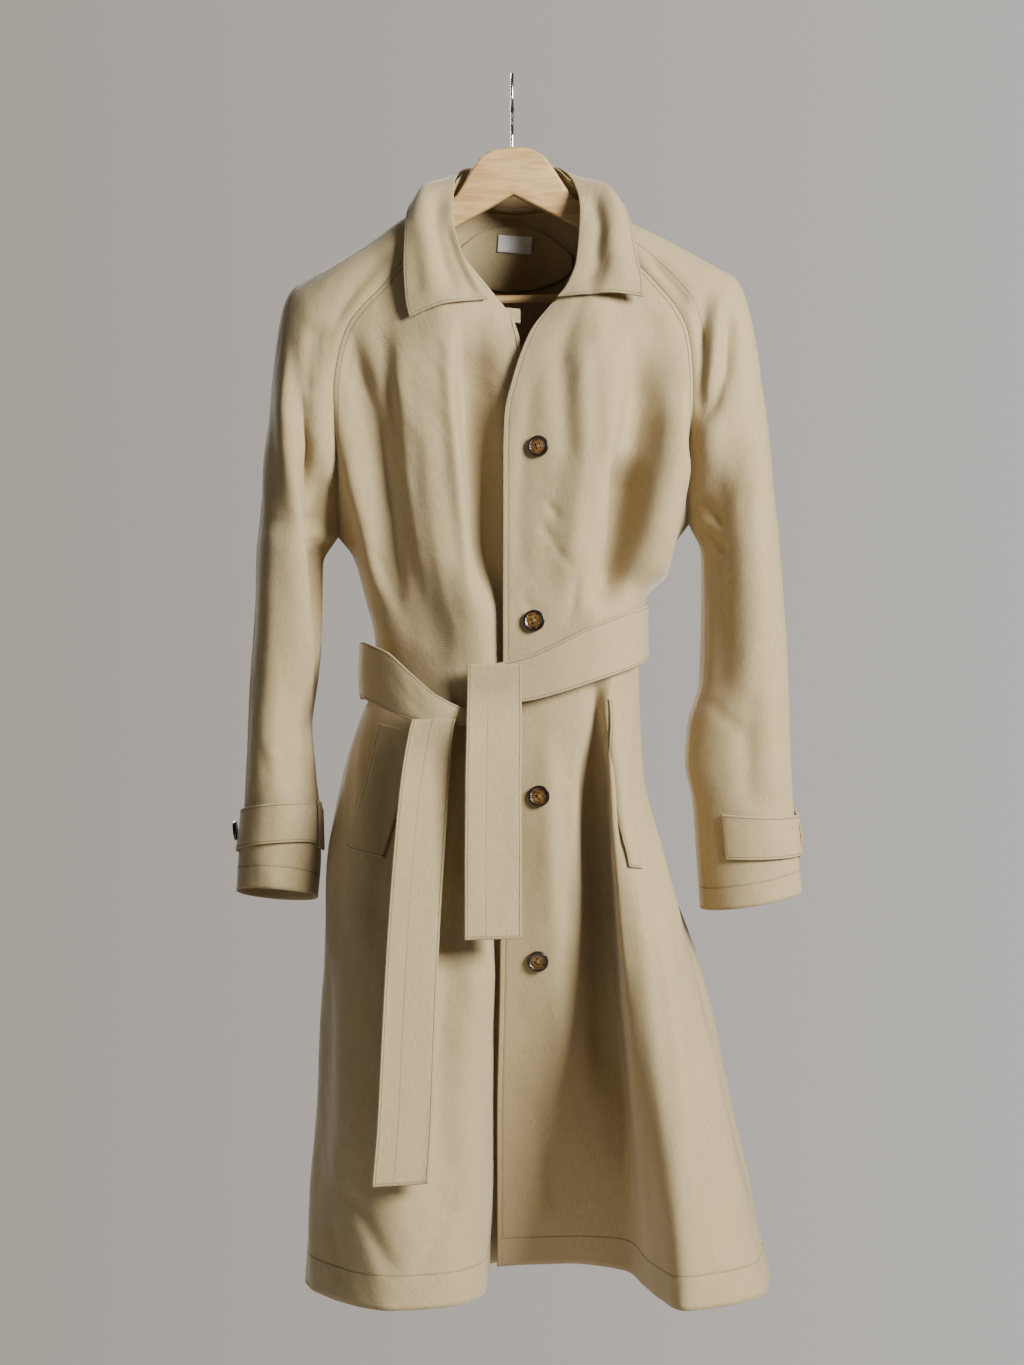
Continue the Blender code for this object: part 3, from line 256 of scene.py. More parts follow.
# Buttons: gaps in millimetres, and shares of a button's radius or thickness.
BUTTON_GAP = 0.5
RIM_WIDTH, RIM_SLOPE, DISH_WIDTH = 0.2, 0.1, 0.5
RIM_HEIGHT, DISH_DEPTH, RIM_ROUND = 0.3, 0.06, 0.09
HOLE_AT, HOLE_RADIUS = 0.25, 0.115
STRAP_BUTTON_SIZE = 0.92
BUTTON_TURN, BUTTON_FIRST_TURN = 17, 4   # degrees from one button to the next, and the first one's
SEWING_RADIUS, SEWING_APART, SEWING_RISE = 0.22, 0.35, 0.45
SEWING_RINGS, SEWING_SIDES = 9, 6
ARM_X = {"right": -0.235, "left": 0.237}

# Hanger: half of the board's upper and lower edges as x, z, and the hook's line as y, z.
BODY_TOP = ((0, -71), (16, -73), (31, -80), (40, -92), (54, -114), (61, -122.5), (103, -145.4),
            (142, -166.4), (175, -184.8), (200, -198.8), (213, -211))
BODY_LOW = ((211, -233), (184, -233), (181, -216), (142, -199), (103, -178), (63, -153), (0, -119))
BODY_THICKNESS, BODY_ROUND, HANGER_TILT = 12, 3.0, 1.2
BAR_RADIUS, BAR_HALF_LENGTH, BAR_Z = 4.3, 180.6, -223
HOOK_WIRE = 1.5
HOOK_ROUTE = ((24, -27), (26, -14), (22, -3), (13, 1.2), (0, 1.7), (-11, -2), (-18, -12), (-19, -24),
              (-14, -38), (-4, -50), (0, -60), (0, -70.6))
HOOK_BALL = 2.3

# Stage, in metres. Lights: size and place.
FLOOR_RADIUS, FLOOR_LEVEL = 1.25, -1.66
KEY_LIGHT = (1.1, (2.08, -1.8, 0.52))
FILL_LIGHT = (2.2, (-2.2, -1.9, -0.5))
BACK_LIGHT = (1.6, (-1.0, 2.5, 0.7))
BACK_SHARE = 8       # the back light's power against the fill light's
LIGHTS_AIM = (0, 0, -0.6)
# Background colours, darker at -x and lighter at +x, the key light's side: painted light on the wall.
WALL_LEFT, WALL_RIGHT = "#9C938A", "#B4B0AC"
WALL_GLOW, WALL_SEEN = 0.16, 1.35    # strength of the background as a light, and as it is seen
EYE_DISTANCE, EYE_HEIGHT, VIEW_HEIGHT, SENSOR = 2.4, -0.606, 1.365, 36

# Folds: height (a ridge) or depth (a trough, negative), its reach to the wearer's right and to the
# wearer's left, then x, z of the points of its line, from the top down.
FOLDS_FRONT_RIGHT = (
    (-7.0, 13, 14, -76, -242, -74, -276, -70, -329, -64, -402, -54, -467, -44, -530),
    (-23.0, 9, 24, -46, -242, -45, -276, -43, -329, -37, -402, -32, -467, -26, -540),
    (7.0, 8, 12, -112, -250, -108, -320, -100, -402, -88, -480, -76, -540),
    (-12.0, 24, 9, -160, -250, -150, -294, -131, -360, -119, -443, -109, -550),
    (4.0, 14, 12, -162, -381, -146, -468, -128, -530),
    (-3.0, 9, 14, -120, -300, -128, -370, -118, -450),
    (-1.6, 5, 6, -140, -470, -122, -505, -108, -540),
    (-1.4, 5, 5, -150, -500, -133, -525, -124, -548),
    (-9.0, 13, 20, -44, -670, -57, -816, -69, -961, -69, -1086, -62, -1160),
    (5.0, 20, 14, -28, -820, -36, -961, -34, -1086, -30, -1180),
    (-6.0, 13, 15, -161, -650, -174, -816, -185, -1009, -193, -1154),
    (4.0, 16, 16, -140, -700, -150, -850, -158, -1010, -160, -1120),
    (-4.0, 12, 12, -112, -660, -122, -760, -132, -860),
    (-3.5, 8, 9, -160, -1088, -136, -1126, -107, -1174),
    (-3.5, 8, 9, -52, -1093, -74, -1136, -96, -1179),
    (-2.5, 6, 7, -176, -1120, -168, -1160, -163, -1190),
    (-1.6, 5, 5, -118, -650, -106, -690, -100, -730),
    (-1.6, 5, 5, -70, -660, -62, -700, -58, -742),
)
FOLDS_FRONT_LEFT = (
    (-4.0, 12, 14, 64, -241, 49, -290, 54, -365, 58, -410),
    (5.0, 14, 12, 62, -247, 68, -310, 68, -411, 58, -488, 52, -535),
    (-20.0, 15, 17, 114, -375, 108, -440, 100, -498, 90, -565),
    (-20.0, 12, 26, 129, -270, 120, -350, 106, -420, 93, -498, 84, -550),
    (16.0, 20, 13, 168, -315, 158, -401, 142, -475, 130, -535),
    (-2.0, 8, 10, 20, -290, 16, -350, 8, -420, 6, -520),
    (-1.6, 4, 5, 32, -430, 46, -450),
    (-1.6, 4, 5, 39, -474, 61, -498),
    (-1.3, 4, 4, 26, -452, 44, -474),
    (-1.4, 4, 5, 6, -520, 20, -536, 36, -544),
    (-1.8, 5, 5, 64, -500, 58, -535, 50, -560),
    (-3.0, 9, 9, 48, -640, 50, -700, 52, -780, 54, -860),
    (-11.0, 11, 17, 72, -625, 74, -700, 78, -780, 86, -900, 94, -1040),
    (3.5, 12, 14, 40, -640, 40, -760, 46, -900, 50, -1020),
    (-4.0, 10, 12, 128, -720, 138, -830, 150, -960, 160, -1080),
    (4.0, 14, 14, 112, -720, 124, -830, 138, -960, 148, -1100, 156, -1180),
    (-4.5, 12, 14, 160, -830, 178, -940, 190, -1060, 202, -1170),
    (3.0, 14, 12, 190, -930, 206, -1040, 222, -1150),
    (-2.4, 7, 8, 20, -1010, 34, -1080, 44, -1150),
    (-2.0, 6, 7, 176, -1110, 184, -1150, 190, -1185),
    (-1.6, 5, 5, 60, -650, 56, -680, 55, -712),
)
FOLDS_BACK = (
    (-5.0, 14, 16, -92, -230, -80, -330, -62, -430, -50, -535),
    (4.5, 12, 14, -120, -300, -104, -400, -86, -480, -74, -535),
    (-4.5, 15, 12, 96, -235, 84, -330, 70, -430, 54, -530),
    (4.0, 14, 12, 130, -310, 112, -410, 92, -480, 78, -525),
    (3.0, 14, 14, 0, -240, 4, -340, 2, -450, 0, -535),
    (-3.0, 9, 9, -30, -360, -26, -440, -22, -540),
    (-3.0, 8, 9, 32, -380, 28, -450, 24, -540),
    (-1.8, 5, 5, -110, -470, -92, -510, -80, -545),
    (-1.8, 5, 5, 106, -465, 94, -500, 84, -540),
    (-7.0, 14, 16, -48, -640, -56, -760, -66, -900, -74, -1060, -78, -1180),
    (5.0, 16, 16, -10, -640, -14, -780, -18, -940, -22, -1100, -24, -1190),
    (-7.0, 16, 14, 34, -630, 40, -760, 48, -900, 54, -1060, 58, -1180),
    (6.0, 16, 16, 78, -650, 92, -780, 104, -940, 116, -1100, 122, -1190),
    (-6.0, 14, 16, 122, -680, 146, -800, 168, -940, 186, -1080, 196, -1180),
    (-6.0, 14, 14, -122, -670, -136, -800, -146, -940, -152, -1100),
    (5.0, 14, 16, -90, -650, -100, -800, -108, -960, -112, -1120),
    (-2.4, 7, 7, -40, -1100, -30, -1150, -16, -1190),
    (-2.4, 7, 7, 96, -1110, 84, -1160, 78, -1190),
)
FOLDS_SLEEVE_RIGHT_FRONT = (
    (10.0, 13, 4, -222, -260, -219, -312, -214, -386, -208, -470, -203, -575, -200, -640),
    (-14.0, 5, 13, -208, -300, -201, -389, -195, -467, -192, -565, -194, -650),
    (3.0, 5, 5, -186, -372, -192, -392, -196, -420, -196, -450),
    (-4.0, 4, 6, -180, -400, -186, -420, -190, -446, -191, -476),
    (3.0, 14, 14, -244, -330, -240, -430, -238, -530, -240, -640),
    (-4.0, 12, 10, -190, -250, -196, -290, -202, -330),
    (-3.0, 10, 10, -120, -178, -150, -214, -176, -260),
    (-3.0, 8, 9, -214, -590, -222, -650, -224, -720),
    (-2.0, 6, 6, -206, -640, -216, -664, -232, -680),
    (-1.8, 5, 6, -204, -676, -216, -700, -236, -716),
    (-2.2, 7, 7, -246, -660, -240, -700, -242, -740),
    (-3.4, 4, 5, -184, -436, -196, -456, -205, -480),
    (-3.0, 4, 5, -184, -462, -193, -478, -201, -502),
    (2.4, 10, 10, -232, -740, -236, -790, -234, -815),
)
FOLDS_SLEEVE_RIGHT_BACK = (
    (4.0, 12, 12, -214, -280, -212, -360, -206, -450, -206, -560, -212, -650),
    (-6.0, 11, 13, -196, -330, -192, -400, -196, -480, -202, -580),
    (-3.0, 10, 12, -130, -176, -160, -214, -186, -262),
    (3.0, 14, 14, -240, -360, -238, -460, -240, -560, -246, -680),
    (-2.2, 6, 6, -210, -590, -226, -620, -246, -640),
    (-2.0, 6, 6, -206, -640, -222, -664, -244, -676),
    (-2.4, 7, 8, -222, -680, -228, -730, -226, -780),
)
FOLDS_SLEEVE_LEFT_FRONT = (
    (-8.0, 9, 9, 193, -214, 184, -273, 181, -330, 182, -360),
    (-8.0, 8, 8, 217, -226, 208, -301, 195, -335, 185, -362),
    (4.0, 10, 12, 204, -236, 196, -290, 190, -340, 196, -420),
    (-4.0, 10, 12, 204, -380, 206, -460, 204, -560, 202, -640),
    (4.0, 14, 14, 240, -300, 240, -420, 238, -540, 236, -640),
    (-3.0, 10, 10, 130, -186, 152, -214, 168, -240),
    (-4.0, 12, 12, 229, -638, 232, -692, 229, -745),
    (-1.4, 7, 7, 190, -618, 206, -640, 226, -652),
    (3.0, 12, 12, 252, -600, 256, -680, 258, -740),
    (-4.0, 5, 5, 186, -420, 196, -440, 208, -452),
    (-3.4, 4, 5, 188, -448, 198, -466, 212, -480),
)
FOLDS_SLEEVE_LEFT_BACK = (
    (4.0, 12, 12, 210, -270, 204, -350, 200, -440, 204, -560, 208, -660),
    (-6.0, 12, 11, 192, -320, 190, -400, 196, -490, 202, -590),
    (-3.0, 10, 12, 136, -182, 160, -220, 182, -266),
    (3.0, 14, 14, 242, -350, 244, -450, 246, -560, 250, -680),
    (-2.2, 6, 6, 206, -600, 224, -622, 246, -640),
    (-2.0, 6, 6, 196, -650, 216, -668, 244, -680),
)
FOLDS_COLLAR = (
    (-6.0, 8, 9, -74, -112, -73, -160, -64, -200, -50, -234),
    (-6.0, 9, 8, 78, -112, 86, -160, 81, -200, 66, -230),
    (-3.0, 7, 9, -62, -150, -50, -196, -34, -240),
    (-2.0, 6, 7, 72, -236, 88, -208, 94, -182),
    (1.6, 10, 10, -86, -150, -82, -200, -76, -240),
    (1.6, 10, 10, 96, -150, 104, -190, 110, -224),
    (-1.4, 8, 8, -94, -160, -92, -200, -88, -236),
)


def linear(colour):
    """An sRGB hex colour as linear red, green, blue and alpha."""
    parts = [int(colour[k:k + 2], 16) / 255 for k in (1, 3, 5)]
    return [c / 12.92 if c <= 0.04045 else ((c + 0.055) / 1.055) ** 2.4 for c in parts] + [1.0]


def colour_setting(name, description, colour):
    return FloatVectorProperty(name=name, description=description, default=linear(colour),
                               size=4, subtype="COLOR", min=0, max=1)


class CoatClothSettings(bpy.types.PropertyGroup):
    """Sizes and colours of the cloth."""

    fold_depth: FloatProperty(name="Fold depth", description="Depth of every fold, against the normal one",
                              default=1.0, min=0.0, max=2.0, subtype="FACTOR")
    stitch_length: FloatProperty(name="Stitch length", description="From one stitch to the next",
                                 default=3.0 * MM, unit="LENGTH")
    gabardine: colour_setting("Gabardine", "Colour of the coat's cloth", "#A6936C")
    # The lining's colour is lighter than the real lining's: painted light that makes up for the shade inside
    # the neck.
    lining: colour_setting("Lining", "Colour of the lining", "#B7A598")
    label: colour_setting("Label", "Colour of the blank neck label", "#F4F2EE")
    thread: colour_setting("Thread", "Colour of the stitching", "#86734E")


class CoatTrimSettings(bpy.types.PropertyGroup):
    """Sizes and colours of the buttons and the hanger."""

    button_radius: FloatProperty(name="Button radius", description="Radius of a front button",
                                 default=10.4 * MM, unit="LENGTH")
    button_thickness: FloatProperty(name="Button thickness", description="Thickness of a button",
                                    default=3.6 * MM, unit="LENGTH")
    horn: colour_setting("Horn", "Dark colour of the buttons", "#1C120B")
    horn_light: colour_setting("Light horn", "Light streaks of the buttons", "#8A6430")
    maple: colour_setting("Maple", "Colour of the hanger's wood", "#C9A670")
    chrome: colour_setting("Chrome", "Colour of the hook", "#C9C9CB")


class CoatStageSettings(bpy.types.PropertyGroup):
    """Powers of the lights and colour of the floor."""

    key_power: FloatProperty(name="Key light", description="Power of the main light", default=255.0,
                             unit="POWER")
    fill_power: FloatProperty(name="Fill light", description="Power of the weak light", default=12.0,
                              unit="POWER")
    floor: colour_setting("Floor", "Colour of the floor", "#BDB6AE")


# ---------------------------------------------------------------- curves and grids

def smooth(knots, values, at):
    """A curve through rows of values at rising knots that never overshoots them."""
    knots, values = np.asarray(knots, float), np.asarray(values, float)
    at = np.clip(np.asarray(at, float), knots[0], knots[-1])
    steps = np.diff(knots)[:, None]
    slopes = np.diff(values, axis=0) / steps
    before, after = slopes[:-1], slopes[1:]
    total = np.where(before * after > 0, before + after, 1.0)
    middle = np.where(before * after > 0, 2 * before * after / total, 0.0)
    slant = np.vstack([slopes[:1], middle, slopes[-1:]])
    i = np.clip(np.searchsorted(knots, at, side="right") - 1, 0, len(knots) - 2)
    h = steps[i]
    t = (at - knots[i])[:, None] / h
    return (values[i] * (1 + 2 * t) * (1 - t) ** 2 + slant[i] * h * t * (1 - t) ** 2
            + values[i + 1] * t * t * (3 - 2 * t) + slant[i + 1] * h * t * t * (t - 1))


def lengths(points):
    """Distance along a line of points, from its first one."""
    return np.concatenate([[0.0], np.cumsum(np.linalg.norm(np.diff(points, axis=0), axis=1))])


def along_line(points, at):
    """Points at the given distances along a line of points."""
    along = lengths(points)
    return np.column_stack([np.interp(at, along, points[:, k]) for k in range(3)])


def curve(points, count):
    """The smooth line through the points, as count + 1 points evenly apart."""
    points = np.asarray(points, float)
    knots = lengths(points)
    fine = smooth(knots, points, np.linspace(0, knots[-1], 900))
    return along_line(fine, np.linspace(0, lengths(fine)[-1], count + 1))


def loft(net, row_counts, splits, columns):
    """A grid of points over a net of rows and tracks, its rows spread evenly between the split rows."""
    net = np.asarray(net, float)
    knots = np.concatenate([[0.0], np.cumsum(np.linalg.norm(np.diff(net, axis=0), axis=2).mean(axis=1))])
    stops = [0.0] + [knots[s] for s in splits] + [knots[-1]]
    rows = np.concatenate([np.linspace(a, b, n + 1)[(k > 0):]
                           for k, (a, b, n) in enumerate(zip(stops, stops[1:], row_counts))])
    tracks = np.stack([smooth(knots, net[:, c], rows) for c in range(net.shape[1])], axis=1)
    across = np.concatenate([[0.0], np.cumsum(np.linalg.norm(np.diff(tracks, axis=1), axis=2).mean(axis=0))])
    at = np.linspace(0, across[-1], columns + 1)
    return np.stack([smooth(across, line, at) for line in tracks])


def snap(grid, side, seam, reach=0.3):
    """Draws one side of a grid on to its seam line, and its neighbourhood after it."""
    share = np.linspace(0, 1, grid.shape[1])
    distance = share if side == 0 else 1 - share
    weight = np.clip(1 - distance / reach, 0, 1) ** 2
    shift = seam - grid[:, side]
    return grid + shift[:, None, :] * weight[None, :, None]


def respace(grid, columns, trims=(0.0, 0.0), steps=EDGE_STEPS):
    """The same rows with their points moved: close together beside both edges, which are trimmed."""
    made = []
    for line in grid:
        start, end = trims[0], lengths(line)[-1] - trims[1]
        near = np.array(steps) * min(1.0, (end - start) / (4 * steps[-1]))
        middle = np.linspace(start + near[-1], end - near[-1], columns - 2 * len(near) + 3)[1:-1]
        made.append(along_line(line, np.concatenate([start + near, middle, (end - near)[::-1]])))
    return np.array(made)


def normals(grid):
    """Unit normals of a grid."""
    cross = np.cross(np.gradient(grid, axis=1), np.gradient(grid, axis=0))
    return cross / np.maximum(np.linalg.norm(cross, axis=2, keepdims=True), 1e-9)


def outward(grid, centre=COAT_MIDDLE):
    """Unit normals of a grid, all on its side away from the centre."""
    out = normals(grid)
    return out if ((grid - np.array(centre)) * out).sum() > 0 else -out


def spans(grid):
    """Distance of each point of a grid from its first and last column, and first and last row."""
    across = np.linalg.norm(np.diff(grid, axis=1), axis=2)
    down = np.linalg.norm(np.diff(grid, axis=0), axis=2)
    first = np.pad(np.cumsum(across, axis=1), ((0, 0), (1, 0)))
    top = np.pad(np.cumsum(down, axis=0), ((1, 0), (0, 0)))
    return {"first": first, "last": first[:, -1:] - first, "top": top, "bottom": top[-1:] - top}


def eased(values):
    """From 0 to 1 with soft ends."""
    t = np.clip(values, 0, 1)
    return t * t * (3 - 2 * t)


def fold_heights(grid, table):
    """Heights over a grid of the folds in a table."""
    x, z = grid[:, :, 0], grid[:, :, 2]
    total = np.zeros(x.shape)
    for height, to_right, to_left, *line in table:
        points = np.array(line, float).reshape(-1, 2)
        along = np.concatenate([[0.0], np.cumsum(np.hypot(*np.diff(points, axis=0).T))])
        nearest = np.full(x.shape, 1e9)
        side, share = np.zeros(x.shape), np.zeros(x.shape)
        for k, (start, end) in enumerate(zip(points, points[1:])):
            way = end - start
            u = np.clip(((x - start[0]) * way[0] + (z - start[1]) * way[1]) / (way @ way), 0, 1)
            dx, dz = x - start[0] - u * way[0], z - start[1] - u * way[1]
            distance = np.hypot(dx, dz)
            closer = distance < nearest
            nearest = np.where(closer, distance, nearest)
            side = np.where(closer, way[0] * dz - way[1] * dx, side)
            share = np.where(closer, (along[k] + u * (along[k + 1] - along[k])) / along[-1], share)
        reach = np.where(side > 0, to_left, to_right)
        total += height * np.exp(-(nearest / reach) ** 2) * eased(np.minimum(share, 1 - share) / FOLD_ENDS)
    return total


def crumple(grid, seed):
    """Small uneven waves that hung cloth keeps after long wear, longer down the cloth than across it."""
    far = spans(grid)
    u, v = far["first"], far["top"]
    total = np.zeros(u.shape)
    for k, (across, down, height) in enumerate(CRUMPLE):
        shift = SEED_STEP * seed + WAVE_STEP * k
        flat = [noise.noise(Vector((a / across + shift, b / down, shift)))
                for a, b in zip(u.ravel(), v.ravel())]
        total += height * np.array(flat).reshape(u.shape)
    return total


def belt_line(x):
    """Height of the belt's middle line at x, over the fronts and the back."""
    stations = sorted((s[0], s[2]) for s in BELT_RIGHT + BELT_LEFT)
    return np.interp(x, *np.array(stations, float).T)


def off_belt(grid):
    """0 under the belt, where the cloth is pressed flat, to 1 away from it."""
    return eased((np.abs(grid[:, :, 2] - belt_line(grid[:, :, 0])) - BELT_BAND) / BELT_EASE)


def folded(grid, table, seed, faded, centre=COAT_MIDDLE, pressed=None):
    """A grid with its folds, which die out towards the faded sides and where the cloth is pressed."""
    depth = bpy.context.scene.coat_cloth.fold_depth
    height = (fold_heights(grid, table) + crumple(grid, seed)) * depth
    far = spans(grid)
    for side in faded:
        height = height * eased(far[side] / SEAM_FADE)
    if pressed is not None:
        height = height * pressed
    way = outward(grid, centre)
    if centre is COAT_MIDDLE:
        way = way * (0.5, 1.0, 0.3)
        way = way / np.linalg.norm(way, axis=2, keepdims=True)
    return grid + way * height[:, :, None]


# ---------------------------------------------------------------- the coat's forms

def front_grid(table, raglan, side):
    """The bare form of a front, from its edge to the raglan and side seams."""
    net, below = [], 0
    for point, level, *tracks in table:
        if point is None:
            below += 1
        end = side[below] if point is None else raglan[point]
        flat = np.array(list(zip(tracks[0::2], tracks[1::2])) + [end[:2]], float)
        share = lengths(flat) / lengths(flat)[-1]
        net.append(np.column_stack([flat, level + (end[2] - level) * share]))
    yoke = round(PANEL_ROWS * YOKE_SHARE)
    grid = loft(net, (yoke, PANEL_ROWS - yoke), (UNDERARM,), LOFT_COLUMNS)
    seam = np.vstack([curve(raglan, yoke), curve(side, PANEL_ROWS - yoke)[1:]])
    return snap(grid, -1, seam)


def back_grid():
    """The bare form of the back, from the right seam to the left one."""
    net, below = [], 0
    for point, level, *tracks in BACK:
        if point is None:
            below += 1
            right, left = SIDE_RIGHT[below], SIDE_LEFT[below]
        else:
            right, left = RAGLAN_BACK_RIGHT[point], RAGLAN_BACK_LEFT[point]
        flat = np.array([right[:2]] + list(zip(tracks[0::2], tracks[1::2])) + [left[:2]], float)
        middle = len(flat) // 2
        share = np.abs(np.arange(len(flat)) - middle) / middle
        ends = np.where(np.arange(len(flat)) < middle, right[2], left[2])
        net.append(np.column_stack([flat, level + (ends - level) * share ** 2]))
    yoke = round(PANEL_ROWS * YOKE_SHARE)
    grid = loft(net, (yoke, PANEL_ROWS - yoke), (UNDERARM,), LOFT_COLUMNS)
    for side, raglan, seam in ((0, RAGLAN_BACK_RIGHT, SIDE_RIGHT), (-1, RAGLAN_BACK_LEFT, SIDE_LEFT)):
        grid = snap(grid, side, np.vstack([curve(raglan, yoke), curve(seam, PANEL_ROWS - yoke)[1:]]))
    return grid


def arm_arc(seam, top, angle, reach, drop, count=13):
    """Points round half of a sleeve from its seam to the seam over the arm, as part of an ellipse."""
    start = math.radians(angle)
    turn = np.linspace(start, math.pi, count)
    share = (math.cos(start) - np.cos(turn)) / (math.cos(start) + 1)
    points = seam + (top - seam) * share[:, None]
    base = seam[1] + reach * math.sin(start)
    points[:, 1] = base + (top[1] - base) * share - reach * np.sin(turn)
    points[:, 2] += np.sign(reach) * drop * np.sin(turn)
    return points


def sleeve_grids(raglan_front, raglan_back, shoulder, arm):
    """The bare forms of both halves of a sleeve, each from its underarm seam to the seam over the arm."""
    front, back, under = [], [], []
    for before, behind, (x, z, angle_front, angle_back) in zip(raglan_front, raglan_back, shoulder):
        top = np.array([x, 0.0, z])
        before, behind = np.array(before, float), np.array(behind, float)
        reach_front = max(-before[1], 0) / math.sin(math.radians(angle_front))
        reach_back = max(behind[1], 0) / math.sin(math.radians(angle_back))
        if angle_front < BARE_ANGLE:
            reach_front, reach_back = arm[0][4], arm[0][5]
        front.append(arm_arc(before, top, angle_front, reach_front, 0))
        back.append(arm_arc(behind, top, angle_back, -reach_back, 0))
    for x_in, z_in, x_out, z_out, reach_front, reach_back, drop in arm:
        seam, top = np.array([x_in, ARM_SEAM_Y, z_in], float), np.array([x_out, 0.0, z_out])
        front.append(arm_arc(seam, top, 0, reach_front, drop))
        back.append(arm_arc(seam, top, 0, -reach_back, drop))
        under.append(seam)
    yoke = round(SLEEVE_ROWS * SLEEVE_YOKE)
    under = curve([raglan_front[-1]] + under, SLEEVE_ROWS - yoke)[1:]
    halves = []
    for net, raglan in ((front, raglan_front), (back, raglan_back)):
        grid = loft(net, (yoke, SLEEVE_ROWS - yoke), (len(shoulder) - 1,), 3 * SLEEVE_COLUMNS)
        halves.append(snap(grid, 0, np.vstack([curve(raglan, yoke), under])))
    top_line = (halves[0][:, -1] + halves[1][:, -1]) / 2
    return [snap(half, -1, top_line) for half in halves]


@functools.lru_cache(maxsize=None)
def coat_grids():
    """Every panel's grid with its folds, by name."""
    made = {}
    right = front_grid(FRONT_RIGHT, RAGLAN_FRONT_RIGHT, SIDE_RIGHT)
    left = front_grid(FRONT_LEFT, RAGLAN_FRONT_LEFT, SIDE_LEFT)
    bodies = (("front_right", right, FRONT_COLUMNS, 0, FOLDS_FRONT_RIGHT, ("last", "top")),
              ("front_left", left, FRONT_COLUMNS, 0, FOLDS_FRONT_LEFT, ("last", "top")),
              ("back", back_grid(), BACK_COLUMNS, SEAM_TRIM, FOLDS_BACK, ("first", "last", "top")))
    for name, grid, columns, trim, table, faded in bodies:
        grid = respace(grid, columns, (trim, SEAM_TRIM))
        made[name] = folded(grid, table, 1 + len(made), faded, pressed=off_belt(grid))
    sleeves = (("right", RAGLAN_FRONT_RIGHT, RAGLAN_BACK_RIGHT, SHOULDER_RIGHT, ARM_RIGHT, STRAP_RIGHT,
                FOLDS_SLEEVE_RIGHT_FRONT, FOLDS_SLEEVE_RIGHT_BACK),
               ("left", RAGLAN_FRONT_LEFT, RAGLAN_BACK_LEFT, SHOULDER_LEFT, ARM_LEFT, STRAP_LEFT,
                FOLDS_SLEEVE_LEFT_FRONT, FOLDS_SLEEVE_LEFT_BACK))
    for side, raglan_front, raglan_back, shoulder, arm, strap, *folds in sleeves:
        halves = sleeve_grids(raglan_front, raglan_back, shoulder, arm)
        for half, grid, table in zip(("front", "back"), halves, folds):
            grid = respace(grid, SLEEVE_COLUMNS, (SEAM_TRIM, SEAM_TRIM))
            strap_rows = [SLEEVE_YOKE + (1 - SLEEVE_YOKE) * s for s in strap[:2]]
            share = np.linspace(0, 1, SLEEVE_ROWS + 1)
            gap = np.maximum(strap_rows[0] - share, share - strap_rows[1])
            pressed = eased(gap / STRAP_EASE)[:, None]
            centre = grid.mean(axis=(0, 1)) * (1, 0, 1)
            made[f"sleeve_{side}_{half}"] = folded(grid, table, 4 + len(made), ("first", "last", "top"),
                                                   centre, pressed)
    return made


# ---------------------------------------------------------------- making objects

def deselect_all():
    for obj in bpy.context.selected_objects:
        obj.select_set(False)


def add_node(tree, kind, values=(), **settings):
    """One node with its settings, its values and the sockets that feed it."""
    node = tree.nodes.new(kind)
    for name, value in settings.items():
        setattr(node, name, value)
    for socket, value in dict(values).items():
        if isinstance(value, bpy.types.NodeSocket):
            tree.links.new(value, node.inputs[socket])
        else:
            node.inputs[socket].default_value = value
    return node


def new_material(name, values):
    """A material's tree and its shader, with constants on the shader's own sockets."""
    material = bpy.data.materials.new(name)
    material.use_nodes = True
    shader = material.node_tree.nodes["Principled BSDF"]
    for socket, value in values.items():
        shader.inputs[socket].default_value = value
    return material, material.node_tree, shader


def layered(tree, tone, layers):
    """A colour with others laid over it in turn, each by its share."""
    for share, colour in layers:
        tone = add_node(tree, "ShaderNodeMix", {0: share, 6: tone, 7: colour}, data_type="RGBA").outputs[2]
    return tone


def scaled(colour, share):
    """A colour made lighter or darker, with its alpha left whole."""
    return [min(c * share, 1) for c in colour[:3]] + [1]


